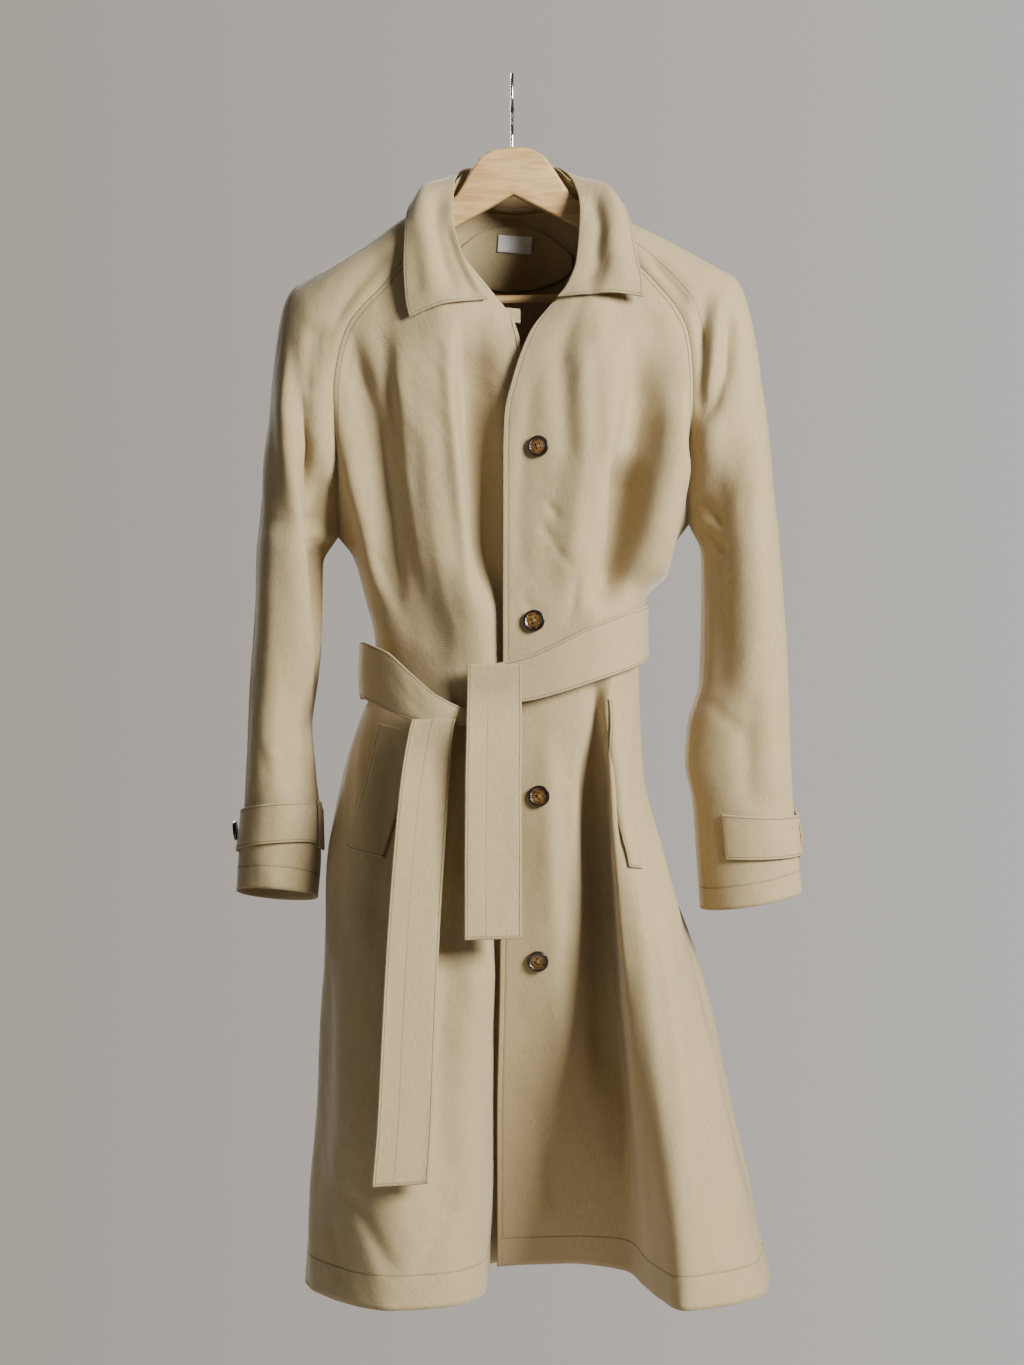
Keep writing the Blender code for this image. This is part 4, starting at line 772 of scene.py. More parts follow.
@functools.lru_cache(maxsize=None)
def gabardine():
    """Cotton gabardine, woven in a steep twill from fine beige yarn: matt, with a faint nap that catches
    light at grazing angles, slubs along the warp and uneven dye, and painted shade in the grooves along its
    stitching."""
    material, tree, shader = new_material("cotton_gabardine_twill_woven", {
        "Roughness": 0.78, "IOR": 1.46, "Specular IOR Level": 0.32,
        "Sheen Weight": 0.28, "Sheen Roughness": 0.45})
    uv = add_node(tree, "ShaderNodeUVMap", uv_map="UVMap").outputs[0]
    seam = add_node(tree, "ShaderNodeAttribute", attribute_name="seam").outputs["Fac"]
    # Real twill lines are 0.5 mm apart; they are drawn 1.5 mm apart so that they show.
    steep = add_node(tree, "ShaderNodeMapping", {"Vector": uv, "Rotation": (0, 0, math.radians(63))})
    twill = add_node(tree, "ShaderNodeTexWave", {"Vector": steep.outputs[0], "Scale": 1 / (1.5 * MM) / 3.1,
                     "Distortion": 1.2, "Detail": 2.0, "Detail Scale": 1.5})
    # Slubs: thick places in the yarn, about 0.9 mm across and 9 mm long.
    warp = add_node(tree, "ShaderNodeMapping", {"Vector": uv, "Scale": (1 / (0.9 * MM), 1 / (9 * MM), 1)})
    slubs = add_node(tree, "ShaderNodeTexNoise", {"Vector": warp.outputs[0], "Scale": 1.0, "Detail": 3.0})
    weft = add_node(tree, "ShaderNodeMapping", {"Vector": uv, "Scale": (1 / (7 * MM), 1 / (0.8 * MM), 1)})
    threads = add_node(tree, "ShaderNodeTexNoise", {"Vector": weft.outputs[0], "Scale": 1.0, "Detail": 2.0})
    # Uneven dye: patches about 70 mm across.
    patches = add_node(tree, "ShaderNodeTexNoise", {"Vector": uv, "Scale": 1 / (70 * MM), "Detail": 3.0})
    base = list(bpy.context.scene.coat_cloth.gabardine)
    dark, light = scaled(base, 0.76), scaled(base, 1.17)
    warm = [base[0] * 1.02, base[1] * 0.985, base[2] * 0.94, 1]
    yarn = add_node(tree, "ShaderNodeMapRange", {"Value": slubs.outputs[0], "From Min": 0.32,
                    "From Max": 0.68})
    cross = add_node(tree, "ShaderNodeMapRange", {"Value": threads.outputs[0], "From Min": 0.3,
                     "From Max": 0.7, "To Min": 0.0, "To Max": 0.5})
    dye = add_node(tree, "ShaderNodeMapRange", {"Value": patches.outputs[0], "From Min": 0.35,
                   "From Max": 0.65, "To Max": 0.6})
    lines = add_node(tree, "ShaderNodeMapRange", {"Value": twill.outputs[0], "To Min": 0.0, "To Max": 0.12})
    # The cloth is doubled between a seam and its stitching, and pulled in along the stitches.
    profile = add_node(tree, "ShaderNodeValToRGB", {0: add_node(
        tree, "ShaderNodeMath", {0: seam, 1: 1 / SEAM_REACH}, operation="MULTIPLY").outputs[0]})
    stops = profile.color_ramp.elements
    stops[0].position, stops[1].position = 0.0, 1.0
    stops[0].color, stops[1].color = (0.78, 0.78, 0.78, 1), (0.5, 0.5, 0.5, 1)
    for place, level in ((0.04, 1.0), (0.2, 0.95), (0.245, 0.25), (0.285, 0.3), (0.34, 0.5)):
        stops.new(place).color = (level, level, level, 1)
    # Painted shade: the colour darkens towards the dark tone in the groove pulled in along the stitching.
    stitch_groove_shade = add_node(tree, "ShaderNodeMapRange", {"Value": profile.outputs[0], "From Min": 0.25,
                    "From Max": 0.5, "To Min": 0.85, "To Max": 0.0})
    tone = layered(tree, dark, ((yarn.outputs[0], light), (cross.outputs[0], base), (dye.outputs[0], warm),
                                (lines.outputs[0], dark), (stitch_groove_shade.outputs[0], dark)))
    tree.links.new(tone, shader.inputs["Base Color"])
    crush = add_node(tree, "ShaderNodeTexNoise", {"Vector": uv, "Scale": 1 / (16 * MM), "Detail": 4.0,
                     "Roughness": 0.6, "Distortion": 0.4})
    ridge = add_node(tree, "ShaderNodeBump", {"Height": profile.outputs[0], "Distance": 1.1 * MM,
                     "Strength": 1.0})
    soft = add_node(tree, "ShaderNodeBump", {"Height": crush.outputs[0], "Distance": 1.0 * MM,
                    "Strength": 0.55, "Normal": ridge.outputs[0]})
    grain = add_node(tree, "ShaderNodeMath", {0: twill.outputs[0], 1: yarn.outputs[0]}, operation="ADD")
    fine = add_node(tree, "ShaderNodeBump", {"Height": grain.outputs[0], "Distance": 0.07 * MM,
                    "Strength": 0.8, "Normal": soft.outputs[0]})
    tree.links.new(fine.outputs[0], shader.inputs["Normal"])
    return material


@functools.lru_cache(maxsize=None)
def plain_cloth(name, setting, roughness, sheen, ribs_apart):
    """Another woven cloth: its threads show as fine cross ribs."""
    colour = list(getattr(bpy.context.scene.coat_cloth, setting))
    material, tree, shader = new_material(name, {"Roughness": roughness, "Sheen Weight": sheen, "IOR": 1.5})
    uv = add_node(tree, "ShaderNodeUVMap", uv_map="UVMap").outputs[0]
    ribs = add_node(tree, "ShaderNodeTexWave", {"Vector": uv, "Scale": 1 / ribs_apart / 6.28,
                    "Distortion": 0.6}, bands_direction="Y")
    soft = add_node(tree, "ShaderNodeTexNoise", {"Vector": uv, "Scale": 1 / (12 * MM), "Detail": 3.0})
    shade = add_node(tree, "ShaderNodeMapRange", {"Value": soft.outputs[0], "From Min": 0.3,
                     "From Max": 0.7})
    tone = layered(tree, scaled(colour, 0.86), [(shade.outputs[0], colour)])
    tree.links.new(tone, shader.inputs["Base Color"])
    waves = add_node(tree, "ShaderNodeBump", {"Height": soft.outputs[0], "Distance": 0.8 * MM})
    fine = add_node(tree, "ShaderNodeBump", {"Height": ribs.outputs[0], "Distance": 0.05 * MM,
                    "Normal": waves.outputs[0]})
    tree.links.new(fine.outputs[0], shader.inputs["Normal"])
    return material


def lining_satin():
    """Viscose satin, woven with long floats: smooth and softly shining."""
    return plain_cloth("viscose_satin_woven", "lining", 0.42, 0.1, 0.7 * MM)


def label_taffeta():
    """Polyester label taffeta, woven tight and heat cut: pale, with a fine rib."""
    return plain_cloth("label_taffeta_woven", "label", 0.5, 0.1, 0.5 * MM)


@functools.lru_cache(maxsize=None)
def thread():
    """Spun polyester sewing thread, twisted from two plies: matt, a little darker than the cloth."""
    material, tree, shader = new_material("polyester_thread_twisted", {"Roughness": 0.65})
    place = add_node(tree, "ShaderNodeTexCoord").outputs["Object"]
    twist = add_node(tree, "ShaderNodeTexNoise", {"Vector": place, "Scale": 1 / (0.6 * MM)})
    colour = list(bpy.context.scene.coat_cloth.thread)
    tone = layered(tree, scaled(colour, 0.75), [(twist.outputs[0], colour)])
    tree.links.new(tone, shader.inputs["Base Color"])
    return material


@functools.lru_cache(maxsize=None)
def horn():
    """Polished horn, turned: almost black at the rim, with golden streaks towards the middle."""
    settings = bpy.context.scene.coat_trim
    material, tree, shader = new_material("horn_turned_polished", {
        "Roughness": 0.24, "IOR": 1.54, "Coat Weight": 0.25, "Coat Roughness": 0.1})
    place = add_node(tree, "ShaderNodeTexCoord").outputs["Object"]
    stretch = add_node(tree, "ShaderNodeMapping", {"Vector": place, "Scale": (1.0, 1.0, 2.4),
                       "Rotation": (0, math.radians(35), 0)})
    streaks = add_node(tree, "ShaderNodeTexNoise", {"Vector": stretch.outputs[0], "Scale": 1 / (6 * MM),
                       "Detail": 5.0, "Distortion": 1.6})
    middle = add_node(tree, "ShaderNodeAttribute", attribute_name="middle").outputs["Fac"]
    golden = add_node(tree, "ShaderNodeMath", {0: streaks.outputs[0], 1: middle}, operation="MULTIPLY")
    share = add_node(tree, "ShaderNodeMapRange", {"Value": golden.outputs[0], "From Min": 0.22,
                     "From Max": 0.62})
    tone = layered(tree, list(settings.horn), [(share.outputs[0], list(settings.horn_light))])
    tree.links.new(tone, shader.inputs["Base Color"])
    grain = add_node(tree, "ShaderNodeBump", {"Height": streaks.outputs[0], "Distance": 0.08 * MM})
    tree.links.new(grain.outputs[0], shader.inputs["Normal"])
    return material


@functools.lru_cache(maxsize=None)
def maple():
    """Maple, sawn, sanded and lacquered: long fine grain with soft brown rings and pores."""
    settings = bpy.context.scene.coat_trim
    material, tree, shader = new_material("maple_sanded_lacquered", {
        "Roughness": 0.46, "IOR": 1.5, "Coat Weight": 0.12, "Coat Roughness": 0.3})
    place = add_node(tree, "ShaderNodeTexCoord").outputs["Object"]
    board = add_node(tree, "ShaderNodeMapping", {"Vector": place, "Scale": (0.12, 1.0, 1.0)})
    rings = add_node(tree, "ShaderNodeTexNoise", {"Vector": board.outputs[0], "Scale": 1 / (5 * MM),
                     "Detail": 4.0, "Distortion": 0.8})
    pores = add_node(tree, "ShaderNodeTexNoise", {"Vector": board.outputs[0], "Scale": 1 / (0.7 * MM),
                     "Detail": 2.0})
    colour = list(settings.maple)
    ring = add_node(tree, "ShaderNodeMapRange", {"Value": rings.outputs[0], "From Min": 0.4,
                    "From Max": 0.62})
    brown = [colour[0] * 0.8, colour[1] * 0.72, colour[2] * 0.62, 1]
    pore = add_node(tree, "ShaderNodeMapRange", {"Value": pores.outputs[0], "From Min": 0.5,
                    "From Max": 0.75, "To Max": 0.35})
    tone = layered(tree, colour, ((ring.outputs[0], brown), (pore.outputs[0], scaled(colour, 0.6))))
    tree.links.new(tone, shader.inputs["Base Color"])
    grain = add_node(tree, "ShaderNodeBump", {"Height": pores.outputs[0], "Distance": 0.06 * MM})
    tree.links.new(grain.outputs[0], shader.inputs["Normal"])
    return material


@functools.lru_cache(maxsize=None)
def chrome():
    """Steel wire, drawn and chrome plated: mirror bright with faint drawing marks."""
    settings = bpy.context.scene.coat_trim
    material, tree, shader = new_material("steel_wire_chromed", {
        "Base Color": settings.chrome, "Metallic": 1.0})
    place = add_node(tree, "ShaderNodeTexCoord").outputs["Object"]
    marks = add_node(tree, "ShaderNodeTexNoise", {"Vector": place, "Scale": 1 / (2 * MM), "Detail": 3.0})
    rough = add_node(tree, "ShaderNodeMapRange", {"Value": marks.outputs[0], "To Min": 0.12, "To Max": 0.17})
    tree.links.new(rough.outputs[0], shader.inputs["Roughness"])
    return material


def add_sheet(name, grid, wall, material, seam=None, replaced=True):
    """A thin shell over a grid of points in millimetres, with its weave laid out in real metres."""
    rows, columns = grid.shape[0] - 1, grid.shape[1] - 1
    deselect_all()
    bpy.ops.mesh.primitive_grid_add(x_subdivisions=columns, y_subdivisions=rows, size=2)
    obj = bpy.context.object
    obj.name = obj.data.name = name if not replaced else f"{name}_cloth"
    mesh = obj.data
    flat = np.empty(len(mesh.vertices) * 3, np.float32)
    mesh.vertices.foreach_get("co", flat)
    column = np.rint((flat[0::3] + 1) / 2 * columns).astype(int)
    row = np.rint((1 - flat[1::3]) / 2 * rows).astype(int)
    mesh.vertices.foreach_set("co", (grid[row, column] * MM).astype(np.float32).ravel())
    far = spans(grid)
    corner = np.empty(len(mesh.loops), np.int32)
    mesh.loops.foreach_get("vertex_index", corner)
    place = np.column_stack([far["first"][row, column], far["top"][row, column]])[corner] * MM
    mesh.uv_layers["UVMap"].data.foreach_set("uv", place.astype(np.float32).ravel())
    distance = np.full(grid.shape[:2], SEAM_REACH) if seam is None else seam
    attribute = mesh.attributes.new("seam", "FLOAT", "POINT")
    attribute.data.foreach_set("value", np.clip(distance, 0, SEAM_REACH)[row, column].astype(np.float32))
    mesh.shade_smooth()
    mesh.materials.append(material)
    shell = obj.modifiers.new("wall", "SOLIDIFY")
    shell.thickness = wall * MM
    shell.offset = 0
    shell.use_even_offset = False
    bpy.ops.object.modifier_apply(modifier=shell.name)
    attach(obj, "root")
    if replaced:
        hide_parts(name)
    return obj


def topstitched(grid, sides, inset=STITCH_INSET, hem=None):
    """Distance from the nearest stitched edge, scaled so that the stitches lie at STITCH_INSET."""
    far = spans(grid)
    distance = np.full(grid.shape[:2], float(SEAM_REACH))
    for side in sides:
        distance = np.minimum(distance, far[side] * STITCH_INSET / inset)
    if hem:
        turned = far["bottom"] - hem + STITCH_INSET
        distance = np.minimum(distance, np.where(turned < 2, 2, turned))
    return distance


def inset_line(grid, side, inset, centre, lift):
    """The line at a distance from a side of a grid, raised on to the cloth, and the normals there."""
    out = outward(grid, centre)
    if side in ("top", "bottom"):
        grid, out = grid.transpose(1, 0, 2), out.transpose(1, 0, 2)
        side = {"top": "first", "bottom": "last"}[side]
    points, ways = [], []
    for line, way in zip(grid, out):
        along = lengths(line)
        at = [inset if side == "first" else along[-1] - inset]
        points.append([np.interp(at, along, line[:, k])[0] for k in range(3)])
        ways.append([np.interp(at, along, way[:, k])[0] for k in range(3)])
    points, ways = np.array(points), np.array(ways)
    return points + ways * lift, ways


@functools.lru_cache(maxsize=None)
def stitch_shape():
    """Points and faces of one stitch, 1 long, 1 wide and 1 high."""
    deselect_all()
    bpy.ops.mesh.primitive_uv_sphere_add(segments=4, ring_count=4, radius=0.5)
    ball = bpy.context.object
    points = np.array([v.co for v in ball.data.vertices])[:, [2, 0, 1]]
    faces = [tuple(face.vertices) for face in ball.data.polygons]
    bpy.data.objects.remove(ball, do_unlink=True)
    return points, faces


def add_stitches(name, lines):
    """Rows of stitches along lines of points with normals, as one piece."""
    pitch = bpy.context.scene.coat_cloth.stitch_length / MM
    half = STITCH_SHARE / 2 * pitch
    shape, faces = stitch_shape()
    verts, made = [], []
    for points, ways in lines:
        along = lengths(points)
        count = int(along[-1] // pitch)
        for k in range(count):
            at = (k + 0.5) * pitch
            ends = along_line(points, [at - half, at + half])
            way = ends[1] - ends[0]
            size = np.linalg.norm(way)
            if size < SHORTEST_STITCH:
                continue
            way = way / size
            up = np.array([np.interp(at, along, ways[:, c]) for c in range(3)])
            up = up - way * (up @ way)
            up = up / max(np.linalg.norm(up), 1e-6)
            side = np.cross(way, up)
            axes = np.stack([way * size, side * STITCH_WIDTH, up * STITCH_HEIGHT])
            made += [tuple(v + len(verts) for v in face) for face in faces]
            verts += list(ends.mean(axis=0) + up * STITCH_LIFT + shape @ axes)
    mesh = bpy.data.meshes.new(name)
    mesh.from_pydata([tuple(v * MM) for v in verts], [], made)
    mesh.materials.append(thread())
    mesh.shade_smooth()
    obj = bpy.data.objects.new(name, mesh)
    bpy.context.scene.collection.objects.link(obj)
    bm = bmesh.new()
    bm.from_mesh(mesh)
    bmesh.ops.recalc_face_normals(bm, faces=bm.faces)
    bm.to_mesh(mesh)
    bm.free()
    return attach(obj, "root")


def pressed_in(seam, distance, slope):
    """A sheet's distances from its seams with one more line pressed in, where the distance is 0."""
    return np.minimum(seam, PRESSED_LINE + slope * np.abs(distance))


def sew(name, grid, wall, sides, inset=EDGE_INSET, seam=None, more=(), stitching=None,
        centre=COAT_MIDDLE):
    """A gabardine sheet, with its stitches inside the sides and along any more lines.

    An empty name for the stitching leaves the stitches to the material.
    """
    seam = topstitched(grid, sides, inset) if seam is None else seam
    obj = add_sheet(name, grid, wall, gabardine(), seam)
    sewn = ()
    if stitching != "":
        places = [(side, inset) for side in sides] + list(more)
        lines = [inset_line(grid, *place, centre, wall / 2) for place in places]
        sewn = [add_stitches(stitching or f"{name}_stitching", lines)]


# ---------------------------------------------------------------- pieces

class COAT_OT_panels(bpy.types.Operator):
    """Makes the fronts, the back and the sleeves, with their stitching"""

    bl_idname = "coat.panels"
    bl_label = "Fronts, back and sleeves"

    def execute(self, context):
        for name, grid in coat_grids().items():
            sleeve = name.startswith("sleeve")
            sides = ("last",) if sleeve else ("first", "last")
            hem = CUFF_HEM_DEPTH if sleeve else HEM_DEPTH
            seam = topstitched(grid, sides, hem=hem)
            more = [("bottom", hem)]
            if name in SLEEVE_LINES:
                side, inset = SLEEVE_LINES[name]
                seam = pressed_in(seam, spans(grid)[side] - inset, 1.2)
                more.append((side, inset))
            centre = grid.mean(axis=(0, 1)) * (1, 0, 1) if sleeve else COAT_MIDDLE
            sew(name, grid, CLOTH, sides, STITCH_INSET, seam, more, centre=centre)
        return {"FINISHED"}


class COAT_OT_collar(bpy.types.Operator):
    """Makes the collar's fall and stand"""

    bl_idname = "coat.collar"
    bl_label = "Collar"

    def execute(self, context):
        rolls = np.array([r[:3] for r in COLLAR_FALL], float)
        edges = np.array([r[3:] for r in COLLAR_FALL], float)
        middle = (rolls + edges) / 2
        way = middle - np.array(FALL_CENTRE)
        middle += FALL_RISE * way / np.linalg.norm(way, axis=1, keepdims=True)
        grid = loft(np.stack([rolls, middle, edges], axis=1), (FALL_ROWS,), (), 60)
        grid = respace(grid, FALL_COLUMNS)
        grid = respace(grid.transpose(1, 0, 2), FALL_ROWS).transpose(1, 0, 2)
        height = fold_heights(grid, FOLDS_COLLAR) * (grid[:, :, 1] < 0) + 0.5 * crumple(grid, 31)
        far = spans(grid)
        grid = grid + outward(grid, FALL_CENTRE) * (height * eased(far["first"] / 8))[:, :, None]
        sew("collar_fall", grid, FALL_WALL, ("last", "top", "bottom"),
            stitching="collar_stitching",
            centre=FALL_CENTRE)
        high = rolls[STAND_FROM:STAND_TO].copy()
        way = np.array(NECK_AXIS) - high[:, :2]
        high[:, :2] += STAND_BEHIND * way / np.linalg.norm(way, axis=1, keepdims=True)
        stand = loft(np.stack([np.array(NECK_SEAM, float), high], axis=1), (90,), (), 16)
        sew("collar_stand", stand, CLOTH, ("first",), STITCH_INSET, stitching="")
        return {"FINISHED"}


def height_at(grid, x, z):
    """y of a grid at x, z, from its nearest points."""
    points = grid.reshape(-1, 3)
    distance = np.hypot(points[:, 0] - x, points[:, 2] - z)
    near = np.argpartition(distance, 60)[:60]
    weight = np.exp(-(distance[near] / 5) ** 2) + 1e-9
    return (points[near, 1] * weight).sum() / weight.sum()


class COAT_OT_neck(bpy.types.Operator):
    """Makes the facing, the blank label, the lining and the tab inside the neck"""

    bl_idname = "coat.neck"
    bl_label = "Inside of the neck"

    def execute(self, context):
        back = coat_grids()["back"]

        def inside(x, z, lift=0.0):
            return height_at(back, x, z) - INSIDE_STEP - lift

        outline = np.array(FACING, float)
        xs = np.linspace(outline[0, 0], outline[-1, 0], 60)
        facing = np.array([[(x, inside(x, top + (low - top) * s), top + (low - top) * s)
                            for s in np.linspace(0, 1, 24)]
                           for x, (top, low) in zip(xs, smooth(outline[:, 0], outline[:, 1:], xs))])
        sew("neck_facing", facing, CLOTH, ("last",), stitching="")
        turn = math.radians(LABEL_TILT)
        label = np.array([[(LABEL_CENTRE_X + a * math.cos(turn) - b * math.sin(turn),
                            LABEL_CENTRE_Z + a * math.sin(turn) + b * math.cos(turn))
                           for b in np.linspace(0.5, -0.5, 14) * LABEL_HEIGHT]
                          for a in np.linspace(-0.5, 0.5, 28) * LABEL_WIDTH])
        label = np.array([[(x, inside(x, z, LABEL_STEP), z) for x, z in line] for line in label])
        obj = add_sheet("neck_label", label, LABEL_WALL, label_taffeta())
        xs = np.linspace(-1, 1, 60) * LINING_HALF_WIDTH
        zs = np.linspace(LINING_TOP, LINING_BOTTOM, 60)
        lining = np.array([[(x, inside(x, z), z) for z in zs] for x in xs])
        obj = add_sheet("back_lining", lining, LINING_WALL, lining_satin())
        x, y, z, width, height = TAB
        tab = np.array([[(x + a * width, y - 1.5 * math.cos(3 * a), z + b * height - 2 * a)
                         for b in np.linspace(0.5, -0.5, 12)] for a in np.linspace(-0.5, 0.5, 20)])
        sew("neck_tab", tab, TAB_WALL, ("top", "bottom"), TAB_INSET,
            stitching="")
        return {"FINISHED"}


def band_grid(stations, count, hanging, across=18):
    """A belt band along its stations: standing on edge round the waist, or hanging down."""
    line = curve([s[:3] for s in stations], count)
    knots = lengths(np.array([s[:3] for s in stations], float))
    sizes = smooth(knots, [[s[3]] for s in stations], np.linspace(0, knots[-1], count + 1))[:, 0]
    side = np.array([1.0, 0, 0]) if hanging else np.array([0, 0, -1.0])
    return np.stack([line + side * (c * sizes)[:, None] for c in np.linspace(-0.5, 0.5, across + 1)], axis=1)


class COAT_OT_belt(bpy.types.Operator):
    """Makes the belt's stretches and its two hanging ends"""

    bl_idname = "coat.belt"
    bl_label = "Belt"

    def execute(self, context):
        stretches = (("belt_left", BELT_LEFT, 90, False), ("belt_back", BELT_BACK, 150, False),
                     ("belt_right", BELT_RIGHT, 100, False), ("belt_short_end", SHORT_END, 100, True),
                     ("belt_long_end", LONG_END, 160, True))
        for number, (name, stations, count, hanging) in enumerate(stretches):
            grid = band_grid(stations, count, hanging)
            grid = respace(grid, BAND_COLUMNS)
            far = spans(grid)
            height = 0.7 * crumple(grid, 50 + number) * eased(far["first"] / 6) * eased(far["last"] / 6)
            grid = grid + outward(grid) * height[:, :, None]
            sides, held, rests_on, seam = ("first", "last"), "stretched", ["back_cloth"], None
            if hanging:
                lean = far["last"] / (far["first"] + far["last"]) * eased((far["top"] - 20) / 60)
                grid[:, :, 1] -= END_LEAN * lean
                sides, held, rests_on = ("first", "last", "bottom"), "hung", ["belt_left_cloth"]
                across = spans(grid)["first"]
                seam = topstitched(grid, sides, EDGE_INSET)
                seam = pressed_in(seam, across - BELT_JOIN * across.max(), 1.4)
            sew(name, grid, BELT_WALL, sides, seam=seam)
        return {"FINISHED"}


def welt_grid(front, opening, width, gape):
    """A pocket welt beside its opening, on the front's own points."""
    line = curve([(x, 0, z) for x, z in opening], 60)
    columns = []
    for share in np.linspace(0, 1, 16):
        x = line[:, 0] + width * share
        z = line[:, 2] - WELT_SLANT * width * share
        columns.append(np.column_stack([x, [height_at(front, a, b) for a, b in zip(x, z)], z]))
    grid = np.stack(columns, axis=1)
    out = normals(grid)
    out = np.where(out[:, :, 1:2] > 0, -out, out)
    swell = gape * np.sin(np.linspace(0, math.pi, grid.shape[0]))[:, None] * np.linspace(1, 0, 16) ** 2
    return grid + out * (CLOTH / 2 + BELT_WALL / 2 + 0.5 + swell)[:, :, None]


class COAT_OT_pockets(bpy.types.Operator):
    """Makes the two pocket welts"""

    bl_idname = "coat.pockets"
    bl_label = "Pocket welts"

    def execute(self, context):
        for side, opening, width in (("right", POCKET_RIGHT, WELT_WIDTH_RIGHT),
                                     ("left", POCKET_LEFT, WELT_WIDTH_LEFT)):
            name = f"pocket_welt_{side}"
            grid = welt_grid(coat_grids()[f"front_{side}"], opening, width, WELT_GAPE[side])
            sew(name, grid, BELT_WALL, ("first", "bottom"))
        return {"FINISHED"}


def ring_part(tube, shares, start, end, rise, rows, columns):
    """Part of a sleeve's ring between two rows and two angles, moved out of the cloth."""
    out = normals(tube)
    last = tube.shape[0] - 1
    yoke = SLEEVE_YOKE * last
    down = np.linspace(yoke + shares[0] * (last - yoke), yoke + shares[-1] * (last - yoke), rows + 1)
    around = np.linspace(start, end, columns + 1) / 360 * (tube.shape[1] - 1)

    def read(values):
        for axis, places in ((0, down), (1, around)):
            low = places.astype(int)
            high = np.minimum(low + 1, values.shape[axis] - 1)
            share = (places % 1).reshape((-1, 1, 1) if axis == 0 else (1, -1, 1))
            values = values.take(low, axis) * (1 - share) + values.take(high, axis) * share
        return values

    part, way = read(tube), read(out)
    centre = read(tube).mean(axis=(0, 1))
    if ((part - centre) * way).sum() < 0:
        way = -way
    way = way / np.linalg.norm(way, axis=2, keepdims=True)
    return part + way * rise


class COAT_OT_cuffs(bpy.types.Operator):
    """Makes the strap and its loop at each cuff"""

    bl_idname = "coat.cuffs"
    bl_label = "Cuff straps"

    def execute(self, context):
        grids = coat_grids()
        for side, strap in (("right", STRAP_RIGHT), ("left", STRAP_LEFT)):
            front, back = grids[f"sleeve_{side}_front"], grids[f"sleeve_{side}_back"]
            tube = np.concatenate([front, back[:, ::-1][:, 1:]], axis=1)
            tube = respace(tube, 120, steps=(0, 1))
            low, high, start, end = strap
            rise = CLOTH / 2 + BELT_WALL / 2 + STRAP_GAP
            grid = ring_part(tube, (low, high), start, end, rise, 20, 150).transpose(1, 0, 2)
            grid = respace(grid, BAND_COLUMNS)
            centre = tube.mean(axis=(0, 1)) * (1, 0, 0) + grid.mean(axis=(0, 1)) * (0, 0, 1)
            sew(f"cuff_strap_{side}", grid, BELT_WALL, ("first", "last", "top", "bottom"),
                centre=centre)
            rise += BELT_WALL / 2 + CLOTH / 2 + LOOP_GAP
            shares = (low - STRAP_LOOP_MORE, high + STRAP_LOOP_MORE)
            loop = ring_part(tube, shares, *STRAP_LOOP_AT[side], rise, 30, 12)
            sag = np.sin(np.linspace(0, math.pi, loop.shape[0])) ** 0.5
            loop = loop + (sag - 1)[:, None, None] * (loop - centre) * 0.05
            sew(f"strap_loop_{side}", loop, LOOP_WALL, ("first", "last"),
                LOOP_INSET, stitching="")
        return {"FINISHED"}


def select_faces(mesh, wanted):
    """In edit mode's data, selects only the faces that pass a test."""
    for part in (mesh.vertices, mesh.edges, mesh.polygons):
        part.foreach_set("select", [False] * len(part))
    for face in mesh.polygons:
        face.select = wanted(face)


def button_mesh(radius, thickness):
    """A four-hole button with a raised rim: a turned blank, dished, rounded and drilled."""
    deselect_all()
    bpy.ops.mesh.primitive_cylinder_add(vertices=64, radius=radius, depth=thickness)
    blank = bpy.context.object
    select_faces(blank.data, lambda face: face.normal.z > 0.5)
    bpy.ops.object.mode_set(mode="EDIT")
    bpy.ops.mesh.inset(thickness=radius * RIM_WIDTH)
    bpy.ops.mesh.inset(thickness=radius * RIM_SLOPE)
    bpy.ops.transform.translate(value=(0, 0, -RIM_HEIGHT * thickness))
    bpy.ops.mesh.inset(thickness=radius * DISH_WIDTH)
    bpy.ops.transform.translate(value=(0, 0, -DISH_DEPTH * thickness))
    bpy.ops.object.mode_set(mode="OBJECT")
    edges = blank.modifiers.new("edges", "BEVEL")
    edges.width = RIM_ROUND * radius
    edges.segments = 3
    edges.limit_method = "ANGLE"
    bpy.ops.object.modifier_apply(modifier=edges.name)
    for quarter in range(4):
        turn = math.pi / 4 + quarter * math.pi / 2
        place = (math.cos(turn) * HOLE_AT * radius, math.sin(turn) * HOLE_AT * radius, 0)
        bpy.ops.mesh.primitive_cylinder_add(vertices=16, radius=HOLE_RADIUS * radius, depth=3 * thickness,
                                            location=place)
        drill = bpy.context.object
        hole = blank.modifiers.new("hole", "BOOLEAN")
        hole.object = drill
        hole.operation = "DIFFERENCE"
        deselect_all()
        bpy.context.view_layer.objects.active = blank
        blank.select_set(True)
        bpy.ops.object.modifier_apply(modifier=hole.name)
        bpy.data.objects.remove(drill, do_unlink=True)
    bpy.ops.object.shade_smooth_by_angle(angle=math.radians(35))
    mesh = blank.data
    bpy.data.objects.remove(blank, do_unlink=True)
    reach = np.array([v.co.xy.length for v in mesh.vertices]) / radius
    middle = mesh.attributes.new("middle", "FLOAT", "POINT")
    middle.data.foreach_set("value", np.clip(1.25 - reach, 0, 1).astype(np.float32))
    mesh.materials.append(horn())
    return mesh


